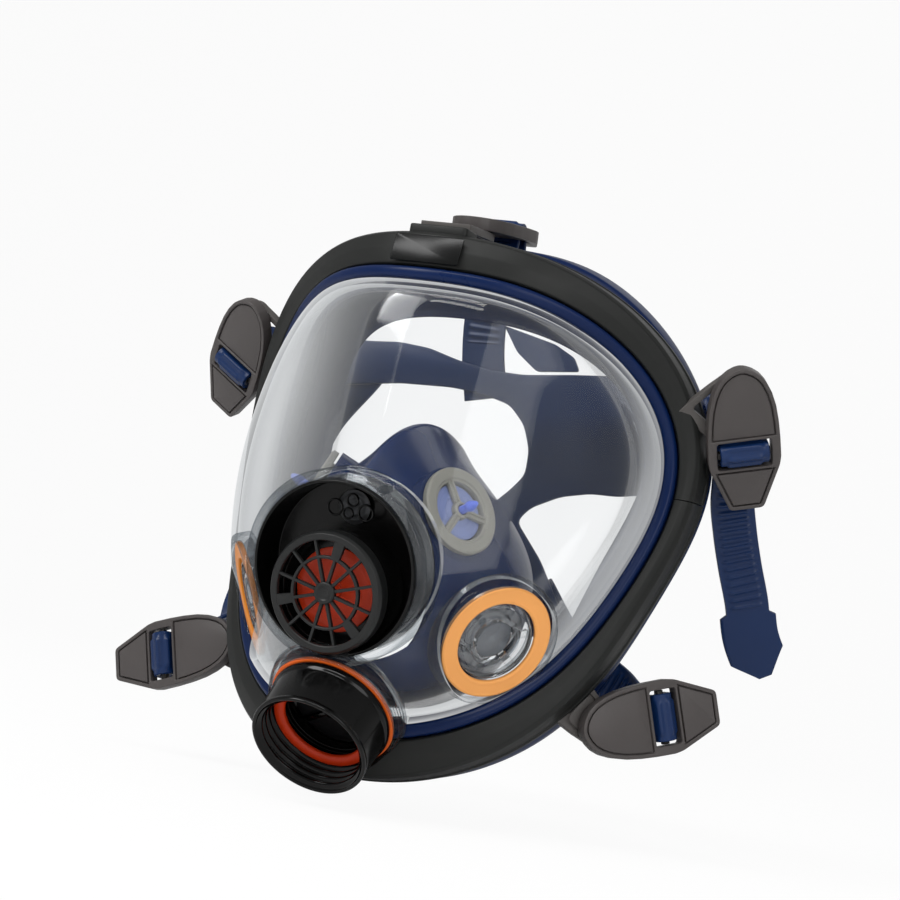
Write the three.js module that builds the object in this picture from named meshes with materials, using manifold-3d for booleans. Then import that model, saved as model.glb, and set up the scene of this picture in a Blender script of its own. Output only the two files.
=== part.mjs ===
// Full-face respirator: panoramic visor in a two-half clamp frame, face seal, nose cup,
// exhale and speech housing, threaded filter port, two side ports and a five-point head harness.
// Millimetres. +Z is up as worn, the wearer looks along -Y, +X is the wearer's left.
// Design coordinates have their zero at the middle of the clamp frame's opening; the whole
// group is then shifted by ORIGIN_SHIFT so that the origin is the centre of the overall box.
import * as THREE from 'three';
import { mergeVertices } from 'three/addons/utils/BufferGeometryUtils.js';
import Module from 'manifold-3d';

const wasm = await Module();
wasm.setup();

// ---------------------------------------------------------------- driving dimensions
const ORIGIN_SHIFT = [4.980, -38.765, -10.067];   // design zero -> centre of the box
const GAP = 0.3;                           // clearance between neighbouring pieces

const RIM_IN = 5.5;                        // visor edge inside the clamp frame's opening
const LENS_T = 2.5;                        // visor wall
const LENS_H = 34;                         // how far the visor bulges forward
const LENS_P = 0.38;                       // squareness of the bulge
const SIDE_PUFF = 0.11;                    // sideways swell of the flanks
const NT = 40;                             // facets round the frame, the seal and the visor

const SKIRT_BACK = 17;                     // depth of the clamp frame's side wall
const SEAM_Z = 24;                         // height of the joint between the two frame halves

const EX = { c: [0, -38.9, -26.2], a: 0.2378, rIn: 30.55, rOut: 32.0, depth: 18, rBoss: 35.6 };
const GR = { off: -8.175, r: 22.18, face: 5.455 };       // grille axis sits below the housing axis
const AD = { c: [0, -32.49, -89.96], a: 0.7483, rMouth: 22.28, len: 19.4, rThread: 19.3, rRoot: 20.5, pitch: 3.63 };
const SP = { c: [51.75, 0.02, -41.94], a: 0.968, d: 0.384, rOut: 22.16, rIn: 15.5, rBoss: 25 };
const CV = { c: [30.43, -5.3, 3.06], a: 1.091, d: -0.395, r: 16.64, rOpen: 11 };
const CUP = { c: [0, 30, -21.6], s: [45.2, 67, 51.8], wall: 2.2, back: 49.2, narrow: 0.54, pinch: 1.87 };

const BUCKLE = { len: 59, halfW: 14.2, t: 5, pivot: 9.5, winA: 30, winB: 41.3, winHalf: 10.6 };
const STRAP_W = 20, STRAP_T = 1.8;

const NAVY = [0x13305f, 0.42, 0.0], BLACK = [0x232425, 0.5, 0.0], GREY = [0x55514f, 0.5, 0.0];

// ---------------------------------------------------------------- clamp frame curve
const sin = Math.sin, cos = Math.cos;
const R = t => 90.592 + 8.2526 * sin(t) - 0.7508 * cos(2 * t) + 5.0965 * sin(3 * t) - 3.1884 * cos(4 * t) - 0.2162 * sin(5 * t) + 0.0148 * cos(6 * t);
const Yb = (x, z) => 0.0071 * x * x - 0.0011 * z * z - 0.0664e-6 * x ** 4 + 0.0123e-3 * x * x * z;
const W = t => 6.4584 * (1 + 1.2557 * sin(t) ** 2);      // face width of the frame
const depth = t => 23.7 + 24.7 * sin(t) ** 2;            // seal depth behind the frame
const lipIn = t => 23.4 - 15 * sin(t) ** 2 + 2 * sin(t); // seal lip, inward of the opening
const edge = t => { const x = R(t) * cos(t), z = R(t) * sin(t); return new THREE.Vector3(x, Yb(x, z), z); };
function outward(t) {
  const a = edge(t - 1e-3), b = edge(t + 1e-3);
  return new THREE.Vector3(b.z - a.z, 0, -(b.x - a.x)).normalize();
}
const at = (t, n, y) => edge(t).addScaledVector(outward(t), n).add(new THREE.Vector3(0, y, 0));

// ---------------------------------------------------------------- geometry helpers
function clean(g) {
  g = g.index ? g.clone() : mergeVertices(g.clone());
  for (const k of Object.keys(g.attributes)) if (k !== 'position') g.deleteAttribute(k);
  g = mergeVertices(g, 1e-4);
  const id = g.index.array, keep = [], p = g.attributes.position;
  for (let i = 0; i < id.length; i += 3) {
    const [a, b, c] = [id[i], id[i + 1], id[i + 2]];
    if (a !== b && b !== c && a !== c) keep.push(a, b, c);
  }
  const v = i => new THREE.Vector3().fromBufferAttribute(p, i);
  let vol = 0;
  for (let i = 0; i < keep.length; i += 3) vol += v(keep[i]).dot(v(keep[i + 1]).cross(v(keep[i + 2])));
  if (vol < 0) for (let i = 0; i < keep.length; i += 3) [keep[i + 1], keep[i + 2]] = [keep[i + 2], keep[i + 1]];
  g.setIndex(keep);
  return g;
}
function solid(g) {
  g = clean(g);
  return new wasm.Manifold(new wasm.Mesh({ numProp: 3, vertProperties: new Float32Array(g.attributes.position.array), triVerts: new Uint32Array(g.index.array) }));
}
function geo(m) {
  const mesh = m.simplify(0.03).getMesh(), g = new THREE.BufferGeometry();
  g.setAttribute('position', new THREE.BufferAttribute(new Float32Array(mesh.vertProperties), 3));
  g.setIndex(new THREE.BufferAttribute(new Uint32Array(mesh.triVerts), 1));
  return g;
}
const move = (g, m) => g.clone().applyMatrix4(m);
// rings of equal length; wrap joins last ring to first, otherwise poles or flat fans close the ends
function loft(rings, wrap, startPole, endPole) {
  const pos = [], idx = [], m = rings[0].length, n = rings.length;
  rings.forEach(r => r.forEach(p => pos.push(p.x, p.y, p.z)));
  const q = (a, b, c, d) => idx.push(a, b, c, a, c, d);
  for (let i = 0; i < (wrap ? n : n - 1); i++) for (let j = 0; j < m; j++) {
    const i2 = (i + 1) % n, j2 = (j + 1) % m;
    q(i * m + j, i * m + j2, i2 * m + j2, i2 * m + j);
  }
  const fan = (ring, p, flip) => {
    const k = pos.length / 3; pos.push(p.x, p.y, p.z);
    for (let j = 0; j < m; j++) { const a = ring * m + j, b = ring * m + (j + 1) % m; flip ? idx.push(k, b, a) : idx.push(k, a, b); }
  };
  if (!wrap) { fan(0, startPole, true); fan(n - 1, endPole, false); }
  const g = new THREE.BufferGeometry();
  g.setAttribute('position', new THREE.BufferAttribute(new Float32Array(pos), 3));
  g.setIndex(idx);
  return g;
}
const centroid = r => r.reduce((s, p) => s.add(p), new THREE.Vector3()).multiplyScalar(1 / r.length);
const ringSweep = (profile, n) => loft([...Array(n)].map((_, i) => { const t = i / n * 2 * Math.PI; return profile(t).map(([a, y]) => at(t, a, y)); }), true);
function latheZ(pts, seg) {
  const g = new THREE.LatheGeometry(pts.map(([r, z]) => new THREE.Vector2(Math.max(r, 0), z)), seg);
  g.rotateX(Math.PI / 2);
  return g;
}
const tube = (r0, r1, z0, z1, seg) => latheZ([[r0, z0], [r1, z0], [r1, z1], [r0, z1], [r0, z0]], seg);
function cyl(r, z0, z1, seg = 32, r2 = r) {
  const g = new THREE.CylinderGeometry(r2, r, z1 - z0, seg);
  g.rotateX(Math.PI / 2); g.translate(0, 0, (z0 + z1) / 2);
  return g;
}
function box(x0, x1, y0, y1, z0, z1) {
  const g = new THREE.BoxGeometry(x1 - x0, y1 - y0, z1 - z0);
  g.translate((x0 + x1) / 2, (y0 + y1) / 2, (z0 + z1) / 2);
  return g;
}
function plate(pts, z0, z1) {
  const s = new THREE.Shape(pts.map(([x, y]) => new THREE.Vector2(x, y)));
  const g = new THREE.ExtrudeGeometry(s, { depth: z1 - z0, bevelEnabled: false });
  g.translate(0, 0, z0);
  return g;
}
const shift = (g, x, y, z) => { g = g.clone(); g.translate(x, y, z); return g; };
// a flat band along points, w is the width direction at each point
function ribbon(pts, dirs, width, thick, n, closed = false) {
  const curve = new THREE.CatmullRomCurve3(pts.map(p => new THREE.Vector3(...p)), closed, 'centripetal');
  const dcurve = new THREE.CatmullRomCurve3(dirs.map(p => new THREE.Vector3(...p).multiplyScalar(100)), closed, 'catmullrom');
  const wide = typeof width === 'function' ? width : () => width;
  const rings = [];
  for (let i = 0; i < (closed ? n : n + 1); i++) {
    const s = i / n, p = curve.getPoint(s), t = curve.getTangent(s);
    let w = dcurve.getPoint(s); w.addScaledVector(t, -w.dot(t)).normalize();
    const h = new THREE.Vector3().crossVectors(t, w).multiplyScalar(thick / 2), ww = w.multiplyScalar(wide(s) / 2);
    rings.push([p.clone().add(ww).add(h), p.clone().sub(ww).add(h), p.clone().sub(ww).sub(h), p.clone().add(ww).sub(h)]);
  }
  return closed ? loft(rings, true) : loft(rings, false, centroid(rings[0].map(p => p.clone())), centroid(rings[n].map(p => p.clone())));
}
function basis(c, n, up) {
  const z = new THREE.Vector3(...n).normalize(), x = new THREE.Vector3(...up).cross(z).normalize(), y = new THREE.Vector3().crossVectors(z, x);
  return new THREE.Matrix4().makeBasis(x, y, z).setPosition(new THREE.Vector3(...c));
}
const root = new THREE.Group();
function group(m) { const g = new THREE.Group(); m.decompose(g.position, g.quaternion, g.scale); root.add(g); return g; }
function part(name, g, [color, roughness, metalness], parent = root, extra = {}) {
  const m = new THREE.Mesh(clean(g), new THREE.MeshStandardMaterial({ color, roughness, metalness, ...extra }));
  m.geometry.computeVertexNormals();
  m.name = name; parent.add(m);
  return m;
}

// ---------------------------------------------------------------- port frames
const vn = a => [0, -cos(a), -sin(a)];
const side = (o, s) => [s * sin(o.a) * cos(o.d), -cos(o.a) * cos(o.d), -sin(o.d)];
const mEX = basis(EX.c, vn(EX.a), [0, 0, 1]);
const mAD0 = basis(AD.c, vn(AD.a), [0, 0, 1]);
const mAD = mAD0.clone().multiply(new THREE.Matrix4().makeTranslation(0, 0, -AD.len));   // zero at the gasket seat
const mSP = s => basis([s * SP.c[0], SP.c[1], SP.c[2]], side(SP, s), [0, 0, 1]);
const mCV = s => basis([s * CV.c[0], CV.c[1], CV.c[2]], side(CV, s), [0, 0, 1]);

// ---------------------------------------------------------------- visor
const fallOff = z => { let s = Math.min(1, Math.max(0, (z + 40) / 140)); s = s * s * (3 - 2 * s); return 1 - 0.5 * s; };
function lensPoint(t, rho, inset, drop) {
  const e = at(t, -RIM_IN - inset, 0), c2 = cos(t) ** 2;
  const puff = 1 + SIDE_PUFF * c2 * Math.exp(-(((rho - 0.93) / 0.09) ** 2)) * (1 - rho ** 10);   // flanks swell out just inside the rim
  const x = rho * e.x * puff, z = rho * e.z;
  return new THREE.Vector3(x, Yb(rho * R(t) * cos(t), rho * R(t) * sin(t)) - (LENS_H - drop) * fallOff(z) * Math.max(0, 1 - rho * rho) ** (LENS_P - 0.08 * c2), z);
}
function dome(inset, drop, flange, capY, nt = NT, nr = 5) {
  const rings = [];
  for (let i = 1; i <= nr; i++) rings.push([...Array(nt)].map((_, j) => lensPoint(j / nt * 2 * Math.PI, sin(i / nr * Math.PI / 2), inset, drop)));
  rings.push(rings[nr - 1].map(p => p.clone().add(new THREE.Vector3(0, flange, 0))));
  return loft(rings, false, lensPoint(0, 0, inset, drop), new THREE.Vector3(0, capY, 0));
}
const keepOut = solid(ringSweep(() => [[-5.6, -9], [34, -9], [34, 90], [-9.2, 90], [-9.2, 6.2], [-5.6, 6.2]], NT));
let visor = solid(dome(0, 0, 5.2, 22)).subtract(solid(dome(LENS_T, LENS_T + 0.1, 12, 70)));
const bossTubes = [
  move(tube(EX.rOut + GAP, EX.rBoss, -20, 0, 26), mEX),
  move(tube(19.5, 27.5, -7, -2.1, 24), mAD),
  ...[1, -1].map(s => move(latheZ([[SP.rIn, -6.5], [SP.rBoss, -6.5], [SP.rBoss, 1], [SP.rOut + GAP, 1], [SP.rOut + GAP, -1.8], [SP.rIn, -1.8], [SP.rIn, -6.5]], 24), mSP(s))),
];
const holes = [
  move(cyl((EX.rOut + EX.rBoss) / 2, -40, 30, 26), mEX),
  move(cyl(23.5, -12, 24, 24), mAD),
  ...[1, -1].map(s => move(cyl((SP.rOut + SP.rBoss) / 2, -30, 14, 24), mSP(s))),
];
const exBore = solid(move(cyl(EX.rOut + GAP + 0.1, -24, 30, 26), mEX)), adFront = solid(move(cyl(26, -2, 24, 24), mAD)), adBore = solid(move(cyl(19.6, -14, 12, 24), mAD));
for (const h of holes) visor = visor.subtract(solid(h));
visor = visor.subtract(adFront);
bossTubes.forEach((b, i) => {
  let q = solid(b).subtract(keepOut);
  if (i > 0) q = q.subtract(exBore);
  else for (const s of [1, -1]) q = q.subtract(solid(move(cyl(17.6, -8, 3, 24), mCV(s))));
  if (i !== 1) q = q.subtract(adFront).subtract(adBore);
  visor = visor.add(q);
});
part('visor', geo(visor), [0xe8eef0, 0.05, 0], root, { transparent: true, opacity: 0.3 });

// ---------------------------------------------------------------- clamp frame
const frameProfile = t => { const w = W(t); return [[0, 1.1], [1.0, 0], [w - 1.3, 3.1], [w, 5.0], [w + 0.6, 12], [w + 0.2, SKIRT_BACK], [w - 1.7, SKIRT_BACK], [w - 1.6, 8.0], [1.0, 4.2], [0, 3.8]]; };
const portRelief = solid(move(cyl(25.7, -2.6, 26, 28), mAD)).add(solid(move(cyl(19.7, -8.5, -2, 28), mAD)));
let frame = solid(ringSweep(frameProfile, NT)).subtract(portRelief);
frame = frame.add(solid(box(-12, 12, -2.5, 9, 104.5, 108.8)));                                    // lug plate for the crown strap
const ear = (s, z0, z1) => solid(box(Math.min(s * 89.6, s * 96.5), Math.max(s * 89.6, s * 96.5), 68.5, 79.5, z0, z1));
const earHole = s => solid(shift(cyl(1.9, SEAM_Z - 14, SEAM_Z + 14, 12), s * 93, 76.3, 0));
const above = solid(box(-150, 150, -60, 160, SEAM_Z + GAP / 2, 200)), below = solid(box(-150, 150, -60, 160, -200, SEAM_Z - GAP / 2));
for (const s of [1, -1]) frame = frame.add(ear(s, SEAM_Z - 5, SEAM_Z + 5)).subtract(earHole(s));
part('bezel_upper', geo(frame.intersect(above)), BLACK);
part('bezel_lower', geo(frame.intersect(below)), BLACK);
for (const s of [1, -1]) {
  const g = group(new THREE.Matrix4().makeTranslation(s * 93, 76.3, SEAM_Z));
  part(s > 0 ? 'bezel_screw_left' : 'bezel_screw_right', geo(solid(cyl(1.6, -6.8, 5.5, 12)).add(solid(cyl(2.9, 5.4, 7.6, 14)))), [0x8a8c8e, 0.35, 0.9], g);
}

// ---------------------------------------------------------------- face seal
const hump = t => [62, 118].reduce((q, d) => q + 5.2 * Math.exp(-(((t * 180 / Math.PI - d) / 17) ** 2)), 0);   // where the seal swells out past the frame
const sealProfile = t => {
  const w = W(t), D = depth(t), a = lipIn(t), h = hump(t);
  return [[-5.2, -0.8], [-2.8, -1.7], [-0.5, -0.7], [-0.35, 4.4], [w - 2.2, 9.0], [w - 2.2, 17.2], [w - 1 + 0.8 * h, 18.6], [w + 0.5 + h, 18.6 + 0.45 * (D - 16)],
    [w - 4 + 0.5 * h, D + 3], [-a + 4, D + 2.4], [-a, D], [-a + 3.2, D - 1.2], [w - 8, D - 0.6], [w - 5, 17.5], [-8.6, 10.6], [-8.6, 6.6], [-5.2, 6.4]];
};
let seal = solid(ringSweep(sealProfile, NT)).subtract(portRelief);
for (const s of [1, -1]) seal = seal.subtract(solid(box(Math.min(s * 89.2, s * 97), Math.max(s * 89.2, s * 97), 68, 80.5, SEAM_Z - 9, SEAM_Z + 9)));
part('face_seal', geo(seal), NAVY);

// ---------------------------------------------------------------- nose cup
function cupPoint(k, u, v) {    // k shrinks the wall, u runs round the Y axis, v from front to back
  const [a, b, c] = CUP.s.map(q => q - k), th = v * Math.PI;
  const rr = sin(th), ridge = Math.exp(-(((u - Math.PI / 2) / 0.334) ** 2)) * 6.4 * rr;
  return new THREE.Vector3(CUP.c[0] + a * rr * cos(u) * (1 - CUP.narrow * Math.max(0, sin(u)) ** CUP.pinch), CUP.c[1] - b * cos(th), CUP.c[2] + (c * rr + ridge) * sin(u));
}
function cup(k) {
  const nu = 28, nv = 9, rings = [];
  for (let i = 1; i < nv; i++) rings.push([...Array(nu)].map((_, j) => cupPoint(k, j / nu * 2 * Math.PI, i / nv * 0.86)));
  const last = rings[rings.length - 1];
  return loft(rings, false, cupPoint(k, 0, 0), centroid(last.map(p => p.clone())));
}
let nose = solid(cup(0));
for (const s of [1, -1]) nose = nose.add(solid(move(cyl(18.4, -12, -1.7, 22), mCV(s))));
nose = nose.subtract(solid(cup(CUP.wall)));
nose = nose.subtract(solid(box(-80, 80, CUP.back, 140, -120, 90)));
nose = nose.subtract(solid(move(cyl(36.2, -20.4, 60, 28), mEX)));
nose = nose.subtract(solid(move(cyl(24, -12.6, 30, 24), mAD)));
for (const s of [1, -1]) nose = nose.subtract(solid(move(cyl(12.6, -26, 5, 22), mCV(s)))).subtract(solid(move(cyl(19, -1.7, 22, 20), mCV(s))));
part('nose_cup', geo(nose), NAVY);

// ---------------------------------------------------------------- nose cup check valves
for (const s of [1, -1]) {
  const nm = s > 0 ? 'left' : 'right', g = group(mCV(s));
  let seat = solid(latheZ([[CV.rOpen, -4.2], [12.3, -4.2], [12.3, -1.3], [CV.r, -1.3], [CV.r, 1.4], [CV.rOpen, 1.4], [CV.rOpen, -4.2]], 24));
  for (let k = 0; k < 3; k++) { const b = box(2.3, CV.rOpen + 0.6, -0.9, 0.9, -0.7, 1.2); b.rotateZ(Math.PI / 2 + k * 2 * Math.PI / 3); seat = seat.add(solid(b)); }
  seat = seat.add(solid(tube(1.9, 3.3, -0.9, 1.4, 12)));
  part(`check_valve_seat_${nm}`, geo(seat), [0x8c8b83, 0.5, 0], g);
  part(`check_valve_disc_${nm}`, geo(solid(cyl(10.6, -2.0, -1.1, 24)).add(solid(cyl(1.6, -1.5, 8.4, 10)))), [0x6f86f2, 0.3, 0], g);
}

// ---------------------------------------------------------------- exhale and speech housing
{
  const g = group(mEX), o = GR.off;
  let h = solid(cyl(EX.rOut, -EX.depth, 0, 32)).subtract(solid(cyl(EX.rIn, -EX.depth + 2, 5, 32)));
  h = h.add(solid(shift(tube(19.4, 20.9, -EX.depth + 1.5, -1.2, 28), 0, o, 0))).add(solid(shift(tube(13, 19.8, -6, -4.6, 24), 0, o, 0)));
  h = h.subtract(solid(shift(cyl(18, -EX.depth - 2, -EX.depth + 3, 24), 0, o, 0))).subtract(solid(shift(cyl(4.5, -EX.depth - 2, -EX.depth + 3, 16), 0, 20.5, 0)));
  for (let k = 0; k < 4; k++) { const b = box(0, 13.4, -0.8, 0.8, -5.9, -4.7); b.rotateZ(Math.PI / 4 + k * Math.PI / 2); b.translate(0, o, 0); h = h.add(solid(b)); }
  part('exhale_housing', geo(h), [0x111213, 0.35, 0], g);

  let c = solid(cyl(EX.rIn - 0.35, -12, -10.5, 40)).subtract(solid(shift(cyl(21.3, -14, -8, 36), 0, o, 0))).intersect(solid(box(-17, 17, 0, 40, -13, -9)));
  for (const [x, y, r] of [[-6.2, 16.8, 2.5], [6.2, 16.2, 2.5], [0.6, 20.2, 1.8], [-0.9, 13.9 + 1.3, 1.5]]) c = c.subtract(solid(shift(cyl(r, -14, -8, 14), x, y + 3.4, 0)));
  part('speech_cover', geo(c), [0x2b2c2d, 0.4, 0], g);
  part('speech_diaphragm', shift(cyl(6.4, -14.6, -14.1, 24), 0, 20.6, 0), [0xb9bcc0, 0.3, 0], g);

  const ga = new THREE.Group(); ga.position.set(0, o, 0); g.add(ga);
  let gr = solid(latheZ([[21.25, -1.0], [GR.r, -1.0], [GR.r, GR.face], [18.9, GR.face], [18.9, GR.face - 2.2], [21.25, GR.face - 2.2], [21.25, -1.0]], 28));
  gr = gr.add(solid(tube(9.6, 10.8, GR.face - 2.1, GR.face - 0.3, 18))).add(solid(cyl(3.6, GR.face - 2.2, GR.face + 0.2, 12)));
  for (let k = 0; k < 12; k++) {
    const b = box(3, 19.4, -0.55, 0.55, GR.face - 2.0, GR.face - 0.35); b.rotateZ(1.326 + k * Math.PI / 6); gr = gr.add(solid(b));
    if (k % 4 === 0) { const q = box(9.7, 19.6, -1.7, 1.7, GR.face - 2.1, GR.face - 0.2); q.rotateZ(1.326 + k * Math.PI / 6); gr = gr.add(solid(q)); }
  }
  part('exhale_grille', geo(gr), [0x3a3b3c, 0.45, 0], ga);
  part('exhale_valve_disc', latheZ([[0, -4.2], [16.8, -4.2], [16.8, -3.4], [3, -3.2], [2.6, -2.2], [0, -2.2]], 24), [0xd8331a, 0.4, 0], ga);
}

// ---------------------------------------------------------------- threaded filter port
{
  const g = group(mAD), L = AD.len;
  const prof = [[16.4, -6], [19.1, -6], [19.1, 0.1], [23.2, 0.1], [23.2, 2.4], [22.4, 12], [AD.rMouth, L], [20.9, L]];
  for (let k = 0; k < 3; k++) { const z = L - 1.6 - k * AD.pitch; prof.push([AD.rThread, z - 0.5], [AD.rRoot, z - 2.2]); }
  prof.push([AD.rRoot, 5.2], [18.2, 5.0], [18.2, 2.0], [16.4, 2.0], [16.4, -6]);
  let a = solid(latheZ(prof, 28));
  for (let k = 0; k < 3; k++) { const b = box(0, 16.8, -0.9, 0.9, -1.4, 0.4); b.rotateZ(Math.PI / 2 + k * 2 * Math.PI / 3); a = a.add(solid(b)); }
  a = a.add(solid(cyl(3, -1.5, 0.6, 14)));
  part('filter_port_body', geo(a), [0x141414, 0.25, 0], g);
  part('filter_port_seal', latheZ([[15.6, 5.5], [20.2, 5.5], [20.2, 7.4], [15.6, 7.4], [15.6, 5.5]], 28), [0xd03a16, 0.35, 0], g);
  part('filter_port_gasket', tube(19.5, 25.2, -1.8, -0.2, 28), [0xee6b1f, 0.45, 0], g);
  part('filter_port_valve_disc', cyl(15.8, -2.8, -1.9, 24), [0x30343a, 0.35, 0], g);
}

// ---------------------------------------------------------------- side ports
for (const s of [1, -1]) {
  const nm = s > 0 ? 'left' : 'right', g = group(mSP(s));
  part(`side_port_gasket_${nm}`, tube(SP.rIn + 0.1, SP.rOut, -1.5, 0, 28), [0xf4a75c, 0.45, 0], g);
  let ins = solid(tube(7.5, SP.rIn - 0.3, -4.3, -0.9, 28));
  for (let k = 0; k < 6; k++) { const b = box(5, 11.2, -1.3, 1.3, -3.2, 0); b.rotateZ(0.4 + k * Math.PI / 3); ins = ins.subtract(solid(b)); }
  part(`side_port_insert_${nm}`, geo(ins), [0xe6ebee, 0.08, 0], g, { transparent: true, opacity: 0.4 });
  part(`side_port_valve_disc_${nm}`, cyl(12.6, -5.6, -4.8, 24), [0xd4d8d6, 0.3, 0], g);
}

// ---------------------------------------------------------------- buckles
const outline = [[0, 0], [0.7, 3.2], [2.4, 6.2], [6, 9.2], [12, 11.9], [20, 13.4], [30, 14.1], [38, 14.2], [41.5, 13.6], [59, 6.6]];
const buckleShape = [...outline, ...outline.slice(1).reverse().map(([x, y]) => [x, -y])].map(([x, y]) => [x - BUCKLE.pivot, y]);
const A = BUCKLE.winA - BUCKLE.pivot, B = BUCKLE.winB - BUCKLE.pivot, MID = (A + B) / 2;
const buckleBody = () => geo(solid(plate(buckleShape, -2.5, 2.5)).subtract(solid(box(A, B, -BUCKLE.winHalf, BUCKLE.winHalf, -4, 4))).subtract(solid(cyl(2.5, -4, 1.3, 14))));
const rivet = () => geo(solid(cyl(2.2, -6.4, 0.9, 10)).add(solid(cyl(3.8, -6.95, -6.2, 12))));
const strapBar = () => { const g = cyl(1.5, -BUCKLE.winHalf + 0.3, BUCKLE.winHalf - 0.3, 12); g.rotateX(Math.PI / 2); g.translate(MID, 0, 0); return g; };
// strap loop over the bar: path in the buckle's x-z plane
function loopPath(tail) {
  const p = [[MID - 4.6, -8.2], [MID - 3.4, -5], [MID - 3.0, -1.5]];
  for (let k = 1; k < 6; k++) { const a = Math.PI * (1 - k / 6); p.push([MID + 3.0 * cos(a), 0.2 + 3.0 * sin(a)]); }
  p.push([MID + 3.0, -1.5], [MID + 3.4, -5]);
  p.push(...(tail ? tail : [[MID + 4.6, -8.2]]));
  return p;
}
const U = new THREE.Vector3(0.4803, -0.7404, -0.4703), V = new THREE.Vector3(0.0601, -0.9519, -0.3006);
const mir = v => new THREE.Vector3(-v.x, v.y, v.z);
const BUCKLES = {
  top: { q: [0, 34, 118], n: [0, -0.12, 0.9928], d: [0, 0.9928, 0.12], f: [0, 8, 109.5] },
  upper_left: { q: [110.7, 53.8, 68.4], n: U.toArray(), d: [0.0408, 0.5544, -0.8312], f: at(0.576, W(0.576), 13.5).toArray(), tail: true },
  upper_right: { q: [-102.2, 52.6, 72.6], n: [-0.3076, -0.8218, -0.4796], d: [-0.4175, 0.5695, -0.708], f: at(Math.PI - 0.64, W(0.64), 13.5).toArray() },
  lower_left: { q: [82.6, 42.6, -66.2], n: [0.7219, -0.6869, 0.0834], d: [0.6394, 0.7083, 0.2991], f: at(-0.785, W(0.785), 12).toArray() },
  lower_right: { q: [-86.8, 46.2, -61.7], n: [-0.1465, -0.986, 0.0798], d: [-0.9312, 0.1103, -0.3474], f: at(Math.PI + 0.72, W(0.72), 12).toArray() },
};
// everything the brackets must stay clear of: frame section and seal section, slightly enlarged
const clampKeep = solid(ringSweep(t => { const w = W(t), D = depth(t); return [[-5.6, -2.2], [w + 0.95, -2.2], [w + 1.0, SKIRT_BACK + 0.4], [w + 1.0 + hump(t), 19.2 + 0.45 * (D - 16)], [w - 3.4 + hump(t), D + 3.6], [-10, D + 3.6], [-10, 6]]; }, NT));
const BRACKET_COL = [0x6b6966, 0.5, 0];
for (const [nm, b] of Object.entries(BUCKLES)) {
  const q = new THREE.Vector3(...b.q), n = new THREE.Vector3(...b.n).normalize(), d = new THREE.Vector3(...b.d);
  d.addScaledVector(n, -d.dot(n)).normalize();
  b.m = new THREE.Matrix4().makeBasis(d, new THREE.Vector3().crossVectors(n, d), n).setPosition(q);
  const g = group(b.m);
  part(`buckle_body_${nm}`, buckleBody(), GREY, g);
  part(`buckle_rivet_${nm}`, rivet(), [0x9a9c9e, 0.35, 0.9], g);
  part(`strap_bar_${nm}`, strapBar(), [0x2c2d2e, 0.4, 0], g);
  // bracket from the pivot to the frame
  const f = new THREE.Vector3(...b.f), a = f.clone().sub(q); a.addScaledVector(n, -a.dot(n));
  const L = a.length(); a.normalize();
  const mb = new THREE.Matrix4().makeBasis(a, new THREE.Vector3().crossVectors(n, a), n).setPosition(q);
  const sh = [[-6.2, -2.4], [-4.6, -4.8], [-1.5, -6.5], [L * 0.4, -8.6], [L + 6, -10.5], [L + 6, 10.5], [L * 0.4, 8.6], [-1.5, 6.5], [-4.6, 4.8], [-6.2, 2.4]];
  let br = solid(plate(sh, -5.9, -2.9)).subtract(solid(cyl(2.5, -8, 0, 14)));
  const slot = cyl(1, -8, 0, 20); slot.scale(Math.max(3, (L - 8) * 0.42), 5.6, 1); slot.translate(5 + (L - 8) * 0.45 + 1.2, 0, 0);
  br = br.subtract(solid(slot));
  let bw = solid(move(geo(br), mb)).subtract(clampKeep);
  if (b.tail) bw = bw.subtract(solid(move(box(MID - 5.5, MID + 8, -10.6, 10.6, -9, 0), b.m)));
  if (nm === 'top') bw = bw.subtract(solid(box(-12.4, 12.4, -3, 9.4, 100, 109.2)));
  part(`buckle_bracket_${nm}`, geo(bw), BRACKET_COL);
  // strap loop riding on the buckle
  const path = loopPath(), inv = p => new THREE.Vector3(p[0], 0, p[1]);
  const pts = path.map(p => inv(p).toArray()), dirs = path.map(() => [0, 1, 0]);
  let n1 = 16;
  if (b.tail) {
    pts.pop(); dirs.pop();
    for (const p of [[MID + 7, -0.466667, -8.0], [MID + 13, -1.83, -8.6], [49.5, -3.6, -8.2], [63.4, -3.5, -7], [78.3, -2.5, -5], [92.9, -1.03, -2.5], [108.2, -0.4, 0.2], [125.9, 4.5, 2]]) { pts.push(p); dirs.push([0, 1, 0]); }
    dirs[dirs.length - 1] = dirs[dirs.length - 2] = [-0.25, 0.96, 0]; dirs[dirs.length - 3] = [-0.12, 0.99, 0];
    n1 = 38;
  }
  part(`strap_end_${nm}`, ribbon(pts, dirs, s => (b.tail ? (s > 0.93 ? 19 * (1 - (s - 0.93) / 0.07 * 0.7) : s < 0.2 ? 19.6 : s < 0.3 ? 19.6 - (s - 0.2) * 26 : s > 0.8 ? 19 : 17) : 19.6), STRAP_T, n1), NAVY, g);
}

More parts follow.
